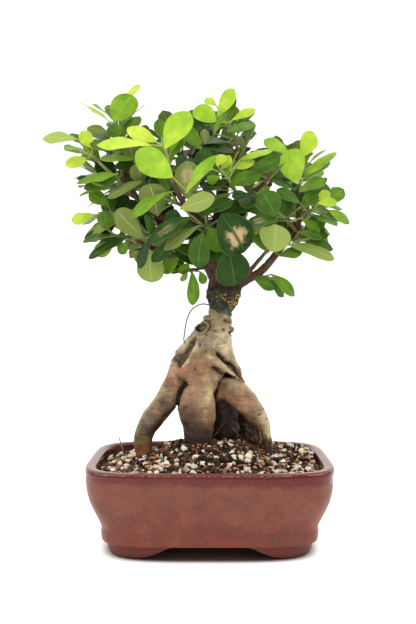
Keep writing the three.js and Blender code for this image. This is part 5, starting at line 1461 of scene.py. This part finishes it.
def leafFinish():
    look = {'under': (0.185, 0.225, 0.055), 'underPale': (0.34, 0.42, 0.105),
            'underVein': (0.42, 0.48, 0.17), 'vein': (0.36, 0.56, 0.10), 'edge': (0.32, 0.46, 0.06),
            'glare': (0.60, 0.43, 0.21)}
    made = Finish('leafGreen')
    uv = made.parts(made.node('ShaderNodeTexCoord', out='UV'))
    shade, under, glare = made.tint()[:3]
    aside = abs(uv[0] - 0.5) * 2
    run = uv[1]
    cloud = made.noise(11, 3, 0.6)
    fine = made.noise(1.6, 3, 0.6)
    depth = shade + (cloud - 0.5) * 0.42 + (0.5 - run) * 0.1
    colour = made.colours(depth, (0.0, (0.009, 0.025, 0.004)), (0.2, (0.021, 0.062, 0.008)),
                          (0.4, (0.058, 0.140, 0.012)), (0.6, (0.145, 0.285, 0.018)),
                          (0.8, (0.29, 0.49, 0.030)), (1.0, (0.56, 0.67, 0.060)))
    # a lighter midrib and fine side veins that run out and forwards
    rib = aside.between(0.06, 0.015) * run.between(1.0, 0.8)
    bend = run * 15 - aside * 3.4 + (fine - 0.5) * 0.3
    ripple = abs(bend.math('FRACT', bend) - 0.5) * 2
    veins = ripple.between(0.84, 0.98) * aside.between(0.96, 0.75)
    colour = made.mix(colour, look['vein'], veins * (0.03 + shade * 0.1) + rib * (0.06 + shade * 0.42))
    colour = made.mix(colour, look['edge'], aside.between(0.93, 0.995) * (0.12 + shade * 0.5))
    back = made.mix(look['under'], look['underPale'], shade.between(0.4, 0.58))
    back = made.mix(back, colour, 0.14 + (cloud - 0.5) * 0.4 + shade * 0.15)
    back = made.mix(back, look['underVein'], (rib * 0.75 + veins * 0.22).clip())
    colour = made.mix(colour, back, under)
    # a painted highlight: a warm patch of glare near the middle of the leaf
    ragged = (made.noise(5, 3, 0.6) - 0.5) * 0.9
    spot = (run + ragged * 0.5).between(0.38, 0.52) * (run + ragged * 0.4).between(0.78, 0.62)
    spot = spot * (aside + ragged).between(0.6, 0.26) * aside.between(0.0, 0.16)
    colour = made.mix(colour, look['glare'], glare * spot * 0.95)
    rough = 0.32 + (cloud - 0.5) * 0.3 + under * 0.3
    relief = rib * 0.5 - veins * 0.2 + fine * 0.1
    return made.surface(colour, rough, made.bump(relief, 0.3, 0.4), Specular_IOR_Level=0.13)


def stemFinish():
    look = {'bark': (0.15, 0.075, 0.035), 'speck': (0.3, 0.24, 0.13)}
    made = Finish('greenStem')
    shade, age = made.tint()[:2]
    cloud = made.noise(4, 4, 0.6)
    colour = made.colours(shade, (0.0, (0.06, 0.10, 0.02)), (0.5, (0.14, 0.2, 0.035)),
                          (1.0, (0.38, 0.46, 0.09)))
    colour = made.mix(colour, look['bark'], (age + (cloud - 0.5) * 0.5).between(0.35, 0.75))
    colour = made.mix(colour, look['speck'], made.cells(1.9).between(0.16, 0.06) * 0.5)
    return made.surface(colour, 0.5, made.bump(cloud, 0.3, 0.6))


def modelBlade(counts):
    # a flat leaf, one across and one along, with a thickness; its outline comes when it is placed
    select()
    bpy.ops.mesh.primitive_grid_add(x_subdivisions=counts[0], y_subdivisions=counts[1], size=2)
    flat = bpy.context.object
    applyModifier(flat, 'SOLIDIFY', thickness=0.2, offset=0, use_even_offset=False)
    flat.name = 'bladePattern'
    return flat


def modelStalk():
    select()
    bpy.ops.mesh.primitive_cylinder_add(vertices=6, radius=1, depth=2)
    stalk = bpy.context.object
    bpy.ops.object.mode_set(mode='EDIT')
    bpy.ops.mesh.select_all(action='DESELECT')
    bpy.ops.object.mode_set(mode='OBJECT')
    for edge in stalk.data.edges:
        a, b = (stalk.data.vertices[v].co for v in edge.vertices)
        edge.select = abs(a.z - b.z) > 1
    bpy.ops.object.mode_set(mode='EDIT')
    bpy.ops.mesh.select_mode(type='EDGE')
    bpy.ops.mesh.subdivide_edgering(number_cuts=3)
    bpy.ops.object.mode_set(mode='OBJECT')
    stalk.name = 'stalkPattern'
    return stalk


def bladeWidth(s, roundness, taper):
    # the half width along a leaf: blunt and widest past its middle, or rounder
    a, b, c = taper - 0.3 * roundness, 2.5 - 0.2 * roundness, 0.76 - 0.22 * roundness
    places = np.linspace(0, 1, 101)
    widest = np.max(places ** a * (1 - places ** b) ** c)
    return np.clip(s, 0.004, 1) ** a * np.clip(1 - s ** b, 0.0006, 1) ** c / widest


def shapeBlade(pattern, base, l, seed):
    piece = copyOf(pattern)
    w, t, side = base[:, 0], (base[:, 1] + 1) / 2, np.sign(base[:, 2])
    s = t - blade['crowd'] * np.sin(2 * math.pi * t)
    half = l['width'] / 2
    roundness = min(max((l['width'] / l['length'] - 0.56) / 0.3, 0), 1)
    out = w * half * bladeWidth(s, roundness, 0.78 + 0.3 * draw(seed, 12))
    length = l['length']
    aside = np.cross(l['along'], l['up'])
    fold = blade['fold'] * (0.2 + 1.1 * draw(seed, 5)) * (0.5 if l['placed'] else 1)
    phase = 6.28 * draw(seed, 6)
    # folded up along the midrib, arched over its width, waved along its edges and bent down at the tip
    lift = fold * np.abs(out) * (1 - 0.5 * s) - blade['arch'] * out ** 2 / half * (1 + draw(seed, 7))
    way = 1 if draw(seed, 8) > 0.5 else -1
    lift += blade['wave'] * length * np.sin(7 * s + phase) * (out / half) * way
    lift += blade['ripple'] * length * np.sin(15 * s + 2 * phase) * np.abs(out / half) ** 2
    drift = length * blade['drift'] * (draw(seed, 9) - 0.5) * s * s * 2
    bow = l['curl'] * (1.5 if l['placed'] else 1)
    lift = lift - bow * s * s + side * blade['thickness'] / 2 * (1 - 0.5 * np.abs(w) ** 3)
    points = (l['foot'] + np.outer(length * s, l['along']) + np.outer(out + drift, aside)
              + np.outer(lift, l['up']))
    writePoints(piece, points)
    under = (side < 0) if not l['flip'] else (side > 0)
    tint = np.stack([np.full(len(w), np.clip(l['shade'], 0, 1)), under.astype(float),
                     np.full(len(w), l['glare'])], axis=1)
    writeTint(piece, tint)
    return piece


def shapeStalk(pattern, base, l):
    # from inside the stem to just inside the blade, with a gentle sag
    piece = copyOf(pattern)
    t = (base[:, 2] + 1) / 2
    start, end = l['root'], l['foot'] + l['along'] * 0.07 * l['length'] - l['up'] * 0.1
    handle = l['foot'] - l['along'] * 0.45 * np.linalg.norm(l['foot'] - l['root'])
    path = np.outer((1 - t) ** 2, start) + np.outer(2 * t * (1 - t), handle) + np.outer(t * t, end)
    run = unit(end - start)
    u = across(l['up'] + 0.01, run)
    v = np.cross(run, u)
    radius = 0.95 - 0.4 * t
    points = path + (base[:, :1] * u + base[:, 1:2] * v) * radius[:, None]
    writePoints(piece, points)
    writeTint(piece, np.tile([np.clip(l['shade'], 0, 1), 0.15], (len(t), 1)))
    return piece


def shapeStem(shoot):
    rows = []
    for i in range(bud['steps'] + 1):
        t = i / bud['steps']
        ahead = stemCurve(shoot, t + 0.01) - stemCurve(shoot, t - 0.01)
        joint = 0.22 * math.exp(-((t * (shoot['count'] + 2)) % 1 - 0.5) ** 2 / 0.02)
        radius = leaf['stemFoot'] + (leaf['stemTip'] - leaf['stemFoot']) * t + joint
        rows.append({'at': stemCurve(shoot, t), 'along': unit(ahead), 'wide': radius, 'deep': radius})
    # the bud: a sheath that narrows to a point
    tip, along = rows[-1]['at'], rows[-1]['along']
    for share, radius in bud['radii']:
        place = tip + along * bud['length'] * share
        rows.append({'at': place, 'along': along, 'wide': radius, 'deep': radius})
    stem = limbAlong(rows, bud['sides'])
    start = rows[0]['at']
    reach = np.linalg.norm(tip - start)
    age = 1 - np.clip(np.linalg.norm(readPoints(stem) - start, axis=1) / reach, 0, 1.4)
    writeTint(stem, np.stack([np.full(len(age), shoot['shade']), np.clip(age, 0, 1)], axis=1))
    return stem


def makeShoots():
    leafy, green = leafFinish(), stemFinish()
    patterns = {'fine': modelBlade(blade['fine']), 'plain': modelBlade(blade['plain']),
                'stalk': modelStalk()}
    bases = {}
    for kind, pattern in patterns.items():
        pattern.data.materials.append(green if kind == 'stalk' else leafy)
        bases[kind] = readPoints(pattern)
        if kind != 'stalk':
            bases[kind][:, 2] = np.sign(bases[kind][:, 2])
    for which, (shoot, leaves) in enumerate(zip(shoots, placeLeaves())):
        stem = shapeStem(shoot)
        stem.data.materials.append(green)
        parts = [stem]
        for n, l in enumerate(leaves):
            seed = which * 37 + n
            kind = 'fine' if l['placed'] else 'plain'
            parts += [shapeBlade(patterns[kind], bases[kind], l, seed),
                      shapeStalk(patterns['stalk'], bases['stalk'], l)]
        piece = join(parts, shoot['name'])
        finish(piece, shoot['name'].replace('shoot', 'leafyShoot'), [], [shoot['name']],
               smooth=40)
    discard(*patterns.values())


makeShoots()
print('shoots made')


# Potting mix, with its loose grains, and what lies on it

mix = {'halfX': 94.2, 'halfY': 72.2, 'power': 4.2, 'edge': 67.2, 'rise': 19.6, 'mound': (-2, -8, 84, 62),
       'heap': (66, 34, 52, 46, 8), 'fall': (95.5, 74, 0.9, 14), 'bottom': 17.6, 'cells': (150, 116)}
# kind, how many, smallest and largest radius, how flat, how deep they sink, seed, and the share of a
# fine ball's faces that each one keeps
grains = [
    ('perlite', 880, 0.8, 2.9, 0.8, 0.1, 1, 0.55),
    ('crumbs', 1700, 0.8, 2.6, 0.9, 0.0, 2, 0.4),
    ('grit', 760, 0.6, 2.0, 0.8, 0.1, 3, 0.4),
    ('barkBits', 420, 1.1, 3.0, 0.42, 0.0, 4, 0.5),
]


def mixTop(x, y):
    mx, my, reachX, reachY = mix['mound']
    fx, fy, start, slope = mix['fall']
    edge = (np.abs(x / fx) ** 3 + np.abs(y / fy) ** 3) ** (1 / 3)
    centre = np.maximum(0, 1 - np.hypot((x - mx) / reachX, (y - my) / reachY))
    hx, hy, heapX, heapY, heapRise = mix['heap']
    beside = np.maximum(0, 1 - np.hypot((x - hx) / heapX, (y - hy) / heapY))
    rise = np.maximum(mix['rise'] * np.minimum(1, 1.7 * centre ** 1.2),
                      heapRise * np.minimum(1, 1.8 * beside))
    return mix['edge'] + rise - slope * np.maximum(0, edge - start)


def insidePlan(u, v):
    # from a square to the soft-cornered plan of the pot
    out = np.maximum(np.maximum(np.abs(u), np.abs(v)), 1e-6)
    reach = (np.abs(u / out) ** mix['power'] + np.abs(v / out) ** mix['power']) ** (-1 / mix['power'])
    return u * reach * mix['halfX'], v * reach * mix['halfY']


def compostFinish():
    look = {'low': (0.008, 0.005, 0.004), 'mid': (0.030, 0.018, 0.011), 'high': (0.13, 0.062, 0.030),
            'crumb': (0.20, 0.11, 0.055)}
    made = Finish('compost')
    cloud = made.noise(5, 4, 0.65)
    fine = made.noise(1.3, 4, 0.7)
    colour = made.colours(cloud, (0.3, look['low']), (0.5, look['mid']), (0.68, look['high']))
    colour = made.mix(colour, look['crumb'], fine.between(0.56, 0.68) * 0.6)
    return made.surface(colour, 0.92, made.bump(cloud * 0.6 + fine * 0.5, 1.6, 0.9),
                        Specular_IOR_Level=0.25)


def grainFinish(name, stops, rough, bumpDepth):
    # the first part of the tint picks a colour, the second shades the grain
    dust = (0.10, 0.07, 0.045)
    made = Finish(name)
    pick, shade = made.tint()[:2]
    cloud = made.noise(2.2, 3, 0.65)
    colour = made.colours(pick, *stops)
    colour = made.mix(colour, dust, (cloud - shade * 0.25).between(0.5, 0.68) * 0.4)
    return made.surface(colour, rough, made.bump(cloud + made.noise(0.8, 2) * 0.4, bumpDepth, 0.8),
                        Specular_IOR_Level=0.3)


def makeCompost():
    select()
    bpy.ops.mesh.primitive_grid_add(x_subdivisions=mix['cells'][0], y_subdivisions=mix['cells'][1], size=2)
    body = bpy.context.object
    flat = readPoints(body)
    x, y = insidePlan(flat[:, 0], flat[:, 1])
    z = mixTop(x, y)
    here = np.stack([x, y, z], axis=1)
    lumps = fractal(here, 7, 3, 12) * 1.3 + fractal(here, 2.3, 2, 13) * 0.8
    z = z + lumps - 1.2 - 1.4 * ramp(np.maximum(np.abs(flat[:, 0]), np.abs(flat[:, 1])), 0.97, 1)
    writePoints(body, np.stack([x, y, z], axis=1))
    # the underside is the top drawn far down, which is then drawn in and set on the floor of the pot
    drop = 500
    drawOut((0, 0, -drop))
    points = readPoints(body)
    low = points[:, 2] < -drop / 5
    points[low] = points[low] * (0.8, 0.73, 0) + (0, 0, mix['bottom'])
    writePoints(body, points)
    outwards(body)
    finish(body, 'compost', [compostFinish()], ['soil'], smooth=50)


def scatter(kind, count, small, large, flatness, sink, seed, share, material, where):
    select()
    bpy.ops.mesh.primitive_ico_sphere_add(subdivisions=2, radius=1)
    pattern = bpy.context.object
    applyModifier(pattern, 'DECIMATE', ratio=share)
    pattern.data.materials.append(material)
    ball = readPoints(pattern)
    chance = np.random.default_rng(seed)
    pieces = []
    while len(pieces) < count:
        u, v = chance.uniform(-1, 1, 2)
        x, y = insidePlan(np.array([u]), np.array([v]))
        x, y = float(x[0]), float(y[0])
        radius = small + (large - small) * chance.random() ** 2.0
        edge = (abs(x) / (mix['halfX'] - radius)) ** 4 + (abs(y) / (mix['halfY'] - radius)) ** 4
        if chance.random() > where(x, y) or edge > 1:
            continue
        z = float(mixTop(x, y)) - 1.0 + radius * (0.35 - sink + 0.3 * chance.random())
        waves = np.sin(ball @ chance.normal(0, 2.1, 3) + 6 * chance.random())
        lump = 1 + 0.32 * waves * np.sin(ball @ chance.normal(0, 2.6, 3))
        lump = lump + chance.normal(0, 0.09, len(ball))
        shape = ball * lump[:, None] * radius * chance.uniform(0.68, 1.15, 3)
        spin = np.linalg.qr(chance.normal(0, 1, (3, 3)))[0]
        shape = shape @ spin * (1, 1, flatness)
        if kind == 'barkBits':
            turn = 6.28 * chance.random()
            c, s = math.cos(turn), math.sin(turn)
            shape = shape * (1.9, 0.75, 1) @ np.array([[c, s, 0], [-s, c, 0], [0, 0, 1]])
        grain = copyOf(pattern)
        writePoints(grain, shape + (x, y, z))
        writeTint(grain, np.tile([chance.random(), chance.random()], (len(ball), 1)))
        pieces.append(grain)
    discard(pattern)
    return finish(join(pieces, kind), kind, [], ['soil'], smooth=28)


def thread(points, start, end, segments, steps):
    # a fine round strand through places in the front view
    stations = [[*p, start + (end - start) * i / (len(points) - 1)] for i, p in enumerate(points)]
    return limbAlong(limbRows(stations, steps), segments)


def makeMix():
    makeCompost()
    looks = {
        'perlite': (((0.0, (0.56, 0.42, 0.26)), (0.35, (0.80, 0.69, 0.52)), (0.7, (0.90, 0.84, 0.72)),
                     (1.0, (0.66, 0.48, 0.32))), 0.8, 0.5),
        'crumbs': (((0.0, (0.006, 0.005, 0.004)), (0.4, (0.018, 0.012, 0.008)),
                    (0.65, (0.06, 0.032, 0.018)), (1.0, (0.17, 0.085, 0.042))), 0.9, 0.6),
        'grit': (((0.0, (0.48, 0.14, 0.045)), (0.3, (0.66, 0.28, 0.11)), (0.6, (0.70, 0.45, 0.26)),
                  (0.8, (0.24, 0.11, 0.05)), (1.0, (0.16, 0.035, 0.02))), 0.75, 0.4),
        'barkBits': (((0.0, (0.09, 0.035, 0.02)), (0.4, (0.20, 0.085, 0.045)), (0.75, (0.36, 0.20, 0.11)),
                      (1.0, (0.12, 0.02, 0.014))), 0.8, 0.5),
    }

    rootFeet = ((-10, -8), (14, 15), (35, 30), (-11, 42))

    def openGround(x, y):
        # how thickly the pale grains lie: few round the roots, and fewer on the left in front
        near = min(math.hypot(x - rx, y - ry) for rx, ry in rootFeet)
        return 0.32 + 0.68 * min(1, max(0, (near - 16) / 30)) - 0.25 * (x < -55 and y < 0)

    for kind, *sizes in grains:
        stops, rough, depth = looks[kind]
        where = openGround if kind in ('perlite', 'grit') else lambda x, y: 1.2 - openGround(x, y) * 0.5
        scatter(kind, *sizes, grainFinish(kind, stops, rough, depth), where)


def strandFinish(name, dark, light):
    made = Finish(name)
    fine = made.noise(3, 3, 0.6)
    colour = made.mix(dark, light, fine.between(0.42, 0.66))
    return made.surface(colour, 0.85, made.bump(fine, 0.2, 0.5), Specular_IOR_Level=0.04)


# fine roots and litter: their places as they are seen from the front, with the depth, and their radius
# at the foot and the tip
threads = {'segments': 6, 'steps': 16}
fibres = [
    ([(19.6, -8, 98.4), (25.8, -10, 91.3), (32.9, -12, 85), (38.3, -14, 79)], 0.6, 0.35),
    ([(43.6, -12, 95.5), (44.6, -15, 87), (42.6, -17, 80.6), (41.6, -19, 72)], 0.75, 0.4),
    ([(44.5, -12, 95), (48.3, -15, 87), (51, -17, 79.5)], 0.6, 0.35),
    ([(45.4, -11, 94), (45.7, -16, 85), (48.4, -19, 74)], 0.65, 0.35),
    ([(46.6, -10, 95.5), (50.4, -13, 88), (50, -16, 78)], 0.5, 0.3),
    ([(30, -10, 84.5), (36, -15, 81.5), (42.5, -18, 82)], 0.5, 0.3),
    ([(22, -14, 86.5), (29, -18, 83), (35, -22, 83.5), (40, -24, 80)], 0.55, 0.3),
    ([(4, -20, 90), (8, -22, 96), (12, -18, 101)], 0.5, 0.25),
    ([(36, -6, 97), (40, -10, 90), (45, -16, 83)], 0.5, 0.3),
    ([(52, -8, 88), (56, -14, 82), (60, -18, 77)], 0.4, 0.25),
]
filaments = [
    ([(-27, -8, 111), (-28.2, -6, 102), (-27.6, -6, 95), (-29.6, -7, 89.5), (-27.4, -8, 83)], 0.26, 0.2),
    ([(-28.4, -8, 107), (-29.6, -6, 103), (-29, -6, 100), (-30.6, -6, 97.5)], 0.2, 0.16),
    ([(-29.6, -7, 89.5), (-31.2, -8, 86), (-30, -9, 82)], 0.22, 0.18),
]
twig = ([(-79.7, 26, 90.1), (-78, 24, 84.5), (-75.8, 22, 77)], 0.45, 0.7)
flake = {'depth': -22, 'thick': 1.3,
         'outline': [(-36.5, 79.7), (-39.3, 74.1), (-44, 71.6), (-49, 69.6), (-53.4, 71.9), (-49, 75.7),
                     (-43.4, 80.1)]}


def makeLitter():
    brown = strandFinish('litterBrown', (0.06, 0.028, 0.014), (0.21, 0.105, 0.05))
    grey = strandFinish('filamentGrey', (0.05, 0.042, 0.036), (0.16, 0.13, 0.11))
    tan = strandFinish('twigTan', (0.2, 0.12, 0.07), (0.4, 0.28, 0.18))
    litter = (('fibrousRoots', fibres, brown), ('hangingFilaments', filaments, grey),
              ('dryTwig', [twig], tan))
    for kind, lines, finishing in litter:
        strands = [thread(*line, threads['segments'], threads['steps']) for line in lines]
        finish(join(strands, kind), kind, [finishing], ['soil'], smooth=None)
    select()
    bpy.ops.mesh.primitive_circle_add(vertices=len(flake['outline']), radius=1, fill_type='NGON')
    chip = bpy.context.object
    corners = [sight((x, flake['depth'] - 0.5 * (x + 45), z)) for x, z in flake['outline']]
    writePoints(chip, np.array(corners))
    applyModifier(chip, 'SOLIDIFY', thickness=flake['thick'], offset=0)
    applyModifier(chip, 'BEVEL', width=0.3, segments=2)
    outwards(chip)
    chestnut = strandFinish('flakeBrown', (0.13, 0.06, 0.032), (0.30, 0.15, 0.08))
    finish(chip, 'barkFlake', [chestnut], ['soil'], smooth=30)


# the thin root that hangs from the collar: its radius at the collar and the tip, and its path
strand = {'thick': 0.56, 'thin': 0.5, 'segments': 8, 'steps': 60,
          'path': [(0, -5, 205.4), (-6, -6.5, 206.3), (-11.6, -7, 204.5), (-16.6, -7, 200),
                   (-20.1, -6.5, 192), (-21.8, -6, 182), (-22.3, -5, 173.5), (-17, -3, 168)]}


def makeStrand():
    root = thread(strand['path'], strand['thick'], strand['thin'], strand['segments'], strand['steps'])
    dry = strandFinish('dryRoot', (0.11, 0.095, 0.085), (0.2, 0.17, 0.15))
    finish(root, 'aerialStrand', [dry], ['aerial_strand'], smooth=None)


makeMix()
makeLitter()
makeStrand()
print('potting mix, litter and strand made')
